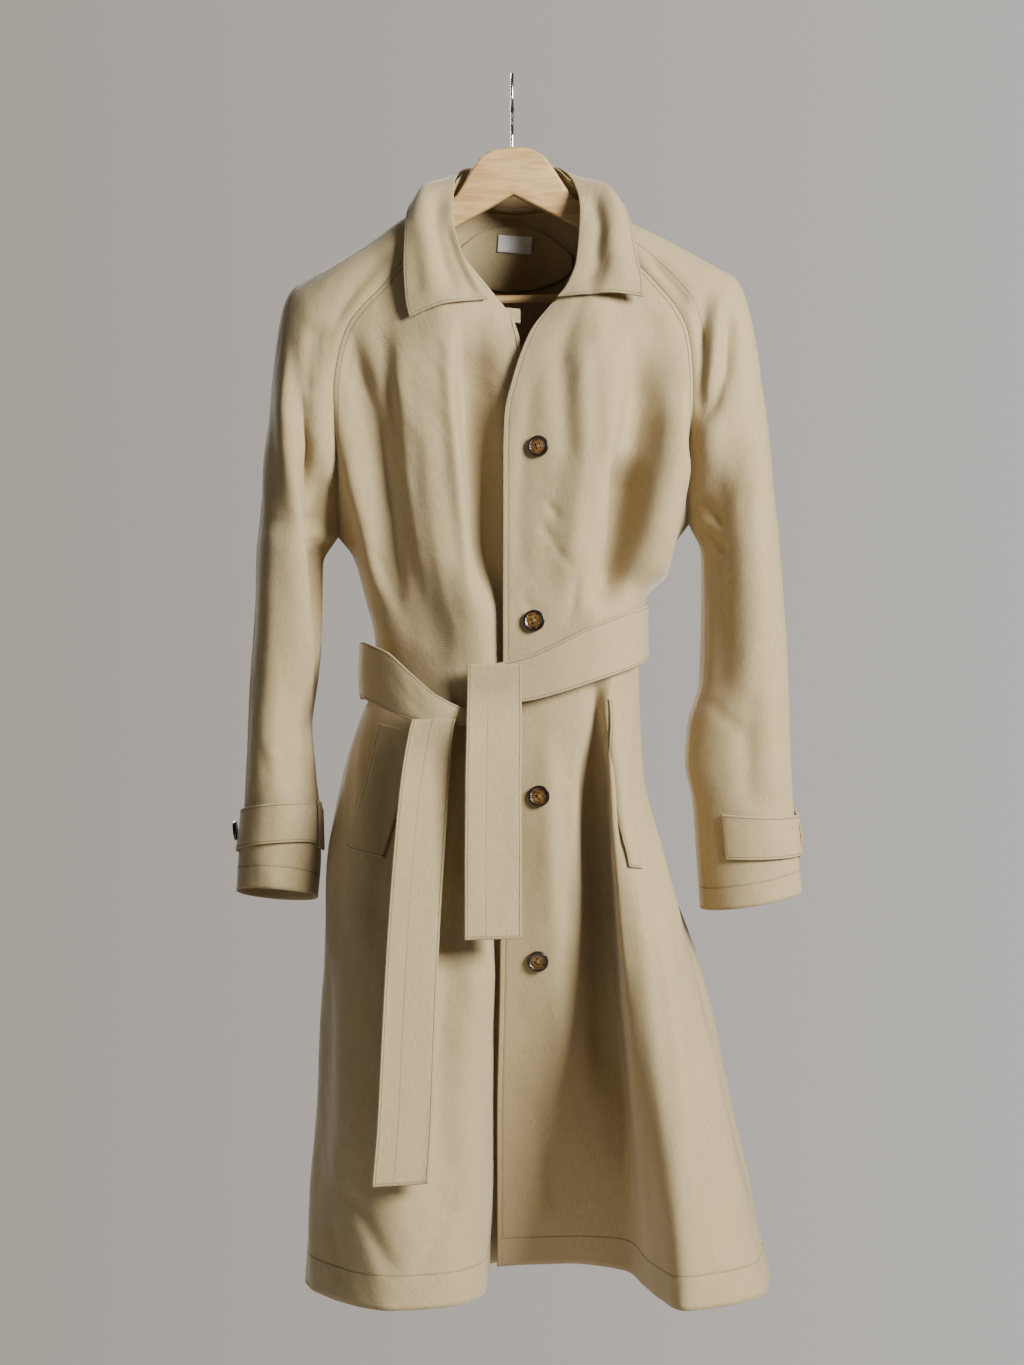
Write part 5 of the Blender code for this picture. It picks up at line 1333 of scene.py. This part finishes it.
def thread_mesh(radius, thickness):
    """Two crossed bundles of thread over the middle of a button."""
    verts, faces = [], []
    sides = SEWING_SIDES
    steps = np.linspace(-1, 1, SEWING_RINGS)
    for turn in (math.pi / 4, 3 * math.pi / 4):
        for offset in (-SEWING_APART, 0, SEWING_APART):
            line = np.column_stack([steps * HOLE_AT * radius, np.full(SEWING_RINGS, offset * MM),
                                    0.16 * thickness + (1 - steps ** 6) * SEWING_RISE * MM])
            line[[0, -1], 2] -= 0.5 * thickness
            c, s = math.cos(turn), math.sin(turn)
            turned = line @ np.array([[c, s, 0], [-s, c, 0], [0, 0, 1]])
            ways = np.gradient(turned, axis=0)
            ways /= np.linalg.norm(ways, axis=1, keepdims=True)
            side = np.cross(ways, (0, 0, 1))
            side /= np.maximum(np.linalg.norm(side, axis=1, keepdims=True), 1e-9)
            up = np.cross(side, ways)
            first = len(verts)
            for point, a, b in zip(turned, side, up):
                verts += [point + SEWING_RADIUS * MM * (a * math.cos(t) + b * math.sin(t))
                          for t in np.linspace(0, math.tau, sides + 1)[:-1]]
            for ring in range(first, first + sides * (SEWING_RINGS - 1), sides):
                faces += [(ring + j, ring + (j + 1) % sides,
                           ring + sides + (j + 1) % sides, ring + sides + j) for j in range(sides)]
            last = len(verts) - sides
            faces += [tuple(first + j for j in range(sides))[::-1], tuple(last + j for j in range(sides))]
    mesh = bpy.data.meshes.new("button_thread")
    mesh.from_pydata(verts, [], faces)
    mesh.shade_smooth()
    mesh.materials.append(thread())
    return mesh


class COAT_OT_buttons(bpy.types.Operator):
    """Makes the front and cuff buttons, each sewn on with crossed thread"""

    bl_idname = "coat.buttons"
    bl_label = "Buttons"

    def execute(self, context):
        trim = context.scene.coat_trim
        button = button_mesh(trim.button_radius, trim.button_thickness)
        sewing = thread_mesh(trim.button_radius, trim.button_thickness)
        left = coat_grids()["front_left"]
        out = outward(left).reshape(-1, 3)
        names = [f"front_button_{k}" for k in range(1, 5)] + ["strap_button_right", "strap_button_left"]
        for number, name in enumerate(names):
            low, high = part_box(name)
            centre = (low + high) / 2
            if name.startswith("front"):
                x, z = FRONT_BUTTONS[number]
                nearest = np.argmin(np.hypot(left[:, :, 0] - x, left[:, :, 2] - z))
                way = Vector(out[nearest])
                seat = Vector(left.reshape(-1, 3)[nearest] * MM)
                centre = seat + way * (CLOTH / 2 * MM + trim.button_thickness / 2 + BUTTON_GAP * MM)
                size = 1.0
            else:
                way = self.facing(name)
                size = STRAP_BUTTON_SIZE
            turn = Vector((0, 0, 1)).rotation_difference(way).to_matrix().to_4x4()
            spin = Matrix.Rotation(math.radians(BUTTON_TURN * number + BUTTON_FIRST_TURN), 4, "Z")
            place = Matrix.Translation(centre) @ turn @ spin @ Matrix.Scale(size, 4)
            for mesh, kind in ((button, "horn"), (sewing, "thread")):
                copy = mesh.copy()
                copy.transform(place)
                obj = bpy.data.objects.new(f"{name}_{kind}", copy)
                context.scene.collection.objects.link(obj)
                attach(obj, "root")
                if kind == "horn":
                    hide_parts(name)
        return {"FINISHED"}

    def facing(self, name):
        """The way a CAD button faces: the normal of its largest faces, away from the arm."""
        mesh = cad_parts[name].data
        total = Vector()
        low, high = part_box(name)
        away = Vector((low.x + high.x, low.y + high.y, 0)) / 2
        away.x -= ARM_X[name.split("_")[-1]]
        for face in mesh.polygons:
            if face.normal.dot(away) > 0:
                total += face.normal * face.area ** 2
        return total.normalized()


def finished(obj, name, node, material):
    """A hard piece in place of its CAD node, with its place in its mesh."""
    obj.name = obj.data.name = name
    obj.data.transform(obj.matrix_world)
    obj.matrix_world = Matrix.Identity(4)
    obj.data.materials.clear()
    obj.data.materials.append(material)
    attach(obj, "root")
    if node:
        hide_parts(node)
    return obj


def curve_mesh(name, places, cyclic, **settings):
    """A mesh from a line of points in metres and a curve's settings."""
    data = bpy.data.curves.new(name, "CURVE")
    for setting, value in settings.items():
        setattr(data, setting, value)
    line = data.splines.new("POLY")
    line.points.add(len(places) - 1)
    for point, place in zip(line.points, places):
        point.co = (*place, 1)
    line.use_cyclic_u = cyclic
    obj = bpy.data.objects.new(name, data)
    bpy.context.scene.collection.objects.link(obj)
    deselect_all()
    bpy.context.view_layer.objects.active = obj
    obj.select_set(True)
    bpy.ops.object.convert(target="MESH")
    return bpy.context.object


class COAT_OT_hanger(bpy.types.Operator):
    """Makes the wooden hanger, its bar and its hook"""

    bl_idname = "coat.hanger"
    bl_label = "Hanger"

    def execute(self, context):
        tilt = (Matrix.Translation((0, 0, BODY_TOP[0][1] * MM))
                @ Matrix.Rotation(-math.radians(HANGER_TILT), 4, "Y")
                @ Matrix.Translation((0, 0, -BODY_TOP[0][1] * MM)))
        top = smooth(range(len(BODY_TOP)), BODY_TOP, np.linspace(0, len(BODY_TOP) - 1, 61))
        low = smooth(range(len(BODY_LOW)), BODY_LOW, np.linspace(0, len(BODY_LOW) - 1, 49))
        half = [tuple(p) for p in np.vstack([top, low])]
        outline = half + [(-x, z) for x, z in reversed(half[1:-1])]
        board = curve_mesh("board", [(x * MM, z * MM, 0) for x, z in outline], True, dimensions="2D",
                           fill_mode="BOTH", extrude=(BODY_THICKNESS / 2 - BODY_ROUND) * MM,
                           bevel_depth=BODY_ROUND * MM, bevel_resolution=4, offset=-BODY_ROUND * MM)
        bpy.ops.object.mode_set(mode="EDIT")
        bpy.ops.mesh.select_all(action="SELECT")
        bpy.ops.mesh.remove_doubles(threshold=0.00002)
        bpy.ops.object.mode_set(mode="OBJECT")
        bpy.ops.object.shade_smooth_by_angle(angle=math.radians(35))
        board.matrix_world = tilt @ Matrix.Rotation(math.pi / 2, 4, "X")
        finished(board, "hanger_body_wood", "hanger_body", maple())

        deselect_all()
        bpy.ops.mesh.primitive_cylinder_add(vertices=40, radius=BAR_RADIUS * MM,
                                            depth=2 * BAR_HALF_LENGTH * MM)
        bar = context.object
        rim = bar.modifiers.new("rim", "BEVEL")
        rim.width = 0.8 * MM
        rim.segments = 3
        bpy.ops.object.modifier_apply(modifier=rim.name)
        bpy.ops.object.shade_smooth_by_angle(angle=math.radians(35))
        level = Matrix.Translation((0, 0, BAR_Z * MM)) @ Matrix.Rotation(math.pi / 2, 4, "Y")
        bar.matrix_world = tilt @ level
        finished(bar, "hanger_bar_wood", "hanger_bar", maple())

        route = curve([(0, y, z) for y, z in HOOK_ROUTE], 120)
        hook = curve_mesh("wire", route * MM, False, dimensions="3D", bevel_depth=HOOK_WIRE * MM,
                          bevel_resolution=5, use_fill_caps=True)
        bpy.ops.object.shade_smooth_by_angle(angle=math.radians(40))
        finished(hook, "hanger_hook_wire", "hanger_hook", chrome())
        deselect_all()
        bpy.ops.mesh.primitive_uv_sphere_add(segments=24, ring_count=14, radius=HOOK_BALL * MM,
                                             location=[0] + [c * MM for c in HOOK_ROUTE[0]])
        ball = context.object
        ball.data.shade_smooth()
        finished(ball, "hanger_hook_ball", None, chrome())
        return {"FINISHED"}


class COAT_OT_stage(bpy.types.Operator):
    """Makes the floor, the lights, the background and the camera"""

    bl_idname = "coat.stage"
    bl_label = "Stage"

    def execute(self, context):
        scene = context.scene
        settings = scene.coat_stage
        deselect_all()
        bpy.ops.mesh.primitive_circle_add(vertices=96, radius=FLOOR_RADIUS, fill_type="NGON",
                                          location=(0, 0, FLOOR_LEVEL))
        floor = context.object
        floor.name = "floor"
        material, tree, shader = new_material("floor_screed_sealed", {"Roughness": 0.7})
        place = add_node(tree, "ShaderNodeTexCoord").outputs["Object"]
        cloudy = add_node(tree, "ShaderNodeTexNoise", {"Vector": place, "Scale": 3.0, "Detail": 5.0})
        colour = list(settings.floor)
        tone = layered(tree, colour, [(cloudy.outputs[0], scaled(colour, 0.93))])
        tree.links.new(tone, shader.inputs["Base Color"])
        floor.data.materials.append(material)
        lights = (("key_light", settings.key_power, *KEY_LIGHT),
                  ("fill_light", settings.fill_power, *FILL_LIGHT),
                  ("back_light", settings.fill_power * BACK_SHARE, *BACK_LIGHT))
        for name, power, size, place in lights:
            light = bpy.data.lights.new(name, "AREA")
            light.energy = power
            light.size = size
            lamp = bpy.data.objects.new(name, light)
            lamp.location = place
            aim = Vector(LIGHTS_AIM) - lamp.location
            lamp.rotation_euler = aim.to_track_quat("-Z", "Y").to_euler()
            scene.collection.objects.link(lamp)
        world = bpy.data.worlds.new("studio")
        world.use_nodes = True
        tree = world.node_tree
        # Painted light: the background seen by the camera runs from darker at -x to lighter at +x, the key
        # light's side.
        way = add_node(tree, "ShaderNodeSeparateXYZ",
                       {0: add_node(tree, "ShaderNodeTexCoord").outputs["Generated"]}).outputs["X"]
        share = add_node(tree, "ShaderNodeMapRange", {"Value": way, "From Min": -0.25, "From Max": 0.25})
        tone = layered(tree, linear(WALL_LEFT), [(share.outputs[0], linear(WALL_RIGHT))])
        background = tree.nodes["Background"]
        tree.links.new(tone, background.inputs["Color"])
        seen = add_node(tree, "ShaderNodeLightPath").outputs["Is Camera Ray"]
        strength = add_node(tree, "ShaderNodeMapRange", {"Value": seen, "To Min": WALL_GLOW,
                            "To Max": WALL_SEEN})
        tree.links.new(strength.outputs[0], background.inputs["Strength"])
        scene.world = world
        camera = bpy.data.cameras.new("camera")
        camera.sensor_fit = "VERTICAL"
        camera.sensor_width = camera.sensor_height = SENSOR
        camera.lens = SENSOR * EYE_DISTANCE / VIEW_HEIGHT
        eye = bpy.data.objects.new("camera", camera)
        eye.location = (0, -EYE_DISTANCE, EYE_HEIGHT)
        eye.rotation_euler = (math.pi / 2, 0, 0)
        scene.collection.objects.link(eye)
        scene.camera = eye
        return {"FINISHED"}


STEPS = (COAT_OT_stage, COAT_OT_panels, COAT_OT_collar, COAT_OT_neck, COAT_OT_belt, COAT_OT_pockets,
         COAT_OT_cuffs, COAT_OT_buttons, COAT_OT_hanger)


class VIEW3D_PT_coat(bpy.types.Panel):
    """Settings and steps of the coat."""

    bl_idname = "VIEW3D_PT_coat"
    bl_label = "Trench coat"
    bl_space_type = "VIEW_3D"
    bl_region_type = "UI"
    bl_category = "Coat"

    def draw(self, context):
        for group in (context.scene.coat_cloth, context.scene.coat_trim, context.scene.coat_stage):
            for name in group.bl_rna.properties.keys():
                if name not in ("rna_type", "name"):
                    self.layout.prop(group, name)
        for step in STEPS:
            self.layout.operator(step.bl_idname)


GROUPS = {"coat_cloth": CoatClothSettings, "coat_trim": CoatTrimSettings, "coat_stage": CoatStageSettings}


def register():
    for name, group in GROUPS.items():
        bpy.utils.register_class(group)
        setattr(bpy.types.Scene, name, PointerProperty(type=group))
    for cls in (*STEPS, VIEW3D_PT_coat):
        bpy.utils.register_class(cls)


def unregister():
    for cls in reversed((*STEPS, VIEW3D_PT_coat)):
        bpy.utils.unregister_class(cls)
    for name, group in GROUPS.items():
        delattr(bpy.types.Scene, name)
        bpy.utils.unregister_class(group)


def main():
    register()
    bpy.ops.coat.stage()
    bpy.ops.coat.panels()
    bpy.ops.coat.collar()
    bpy.ops.coat.neck()
    bpy.ops.coat.belt()
    bpy.ops.coat.pockets()
    bpy.ops.coat.cuffs()
    bpy.ops.coat.buttons()
    bpy.ops.coat.hanger()


if __name__ == "__main__":
    main()
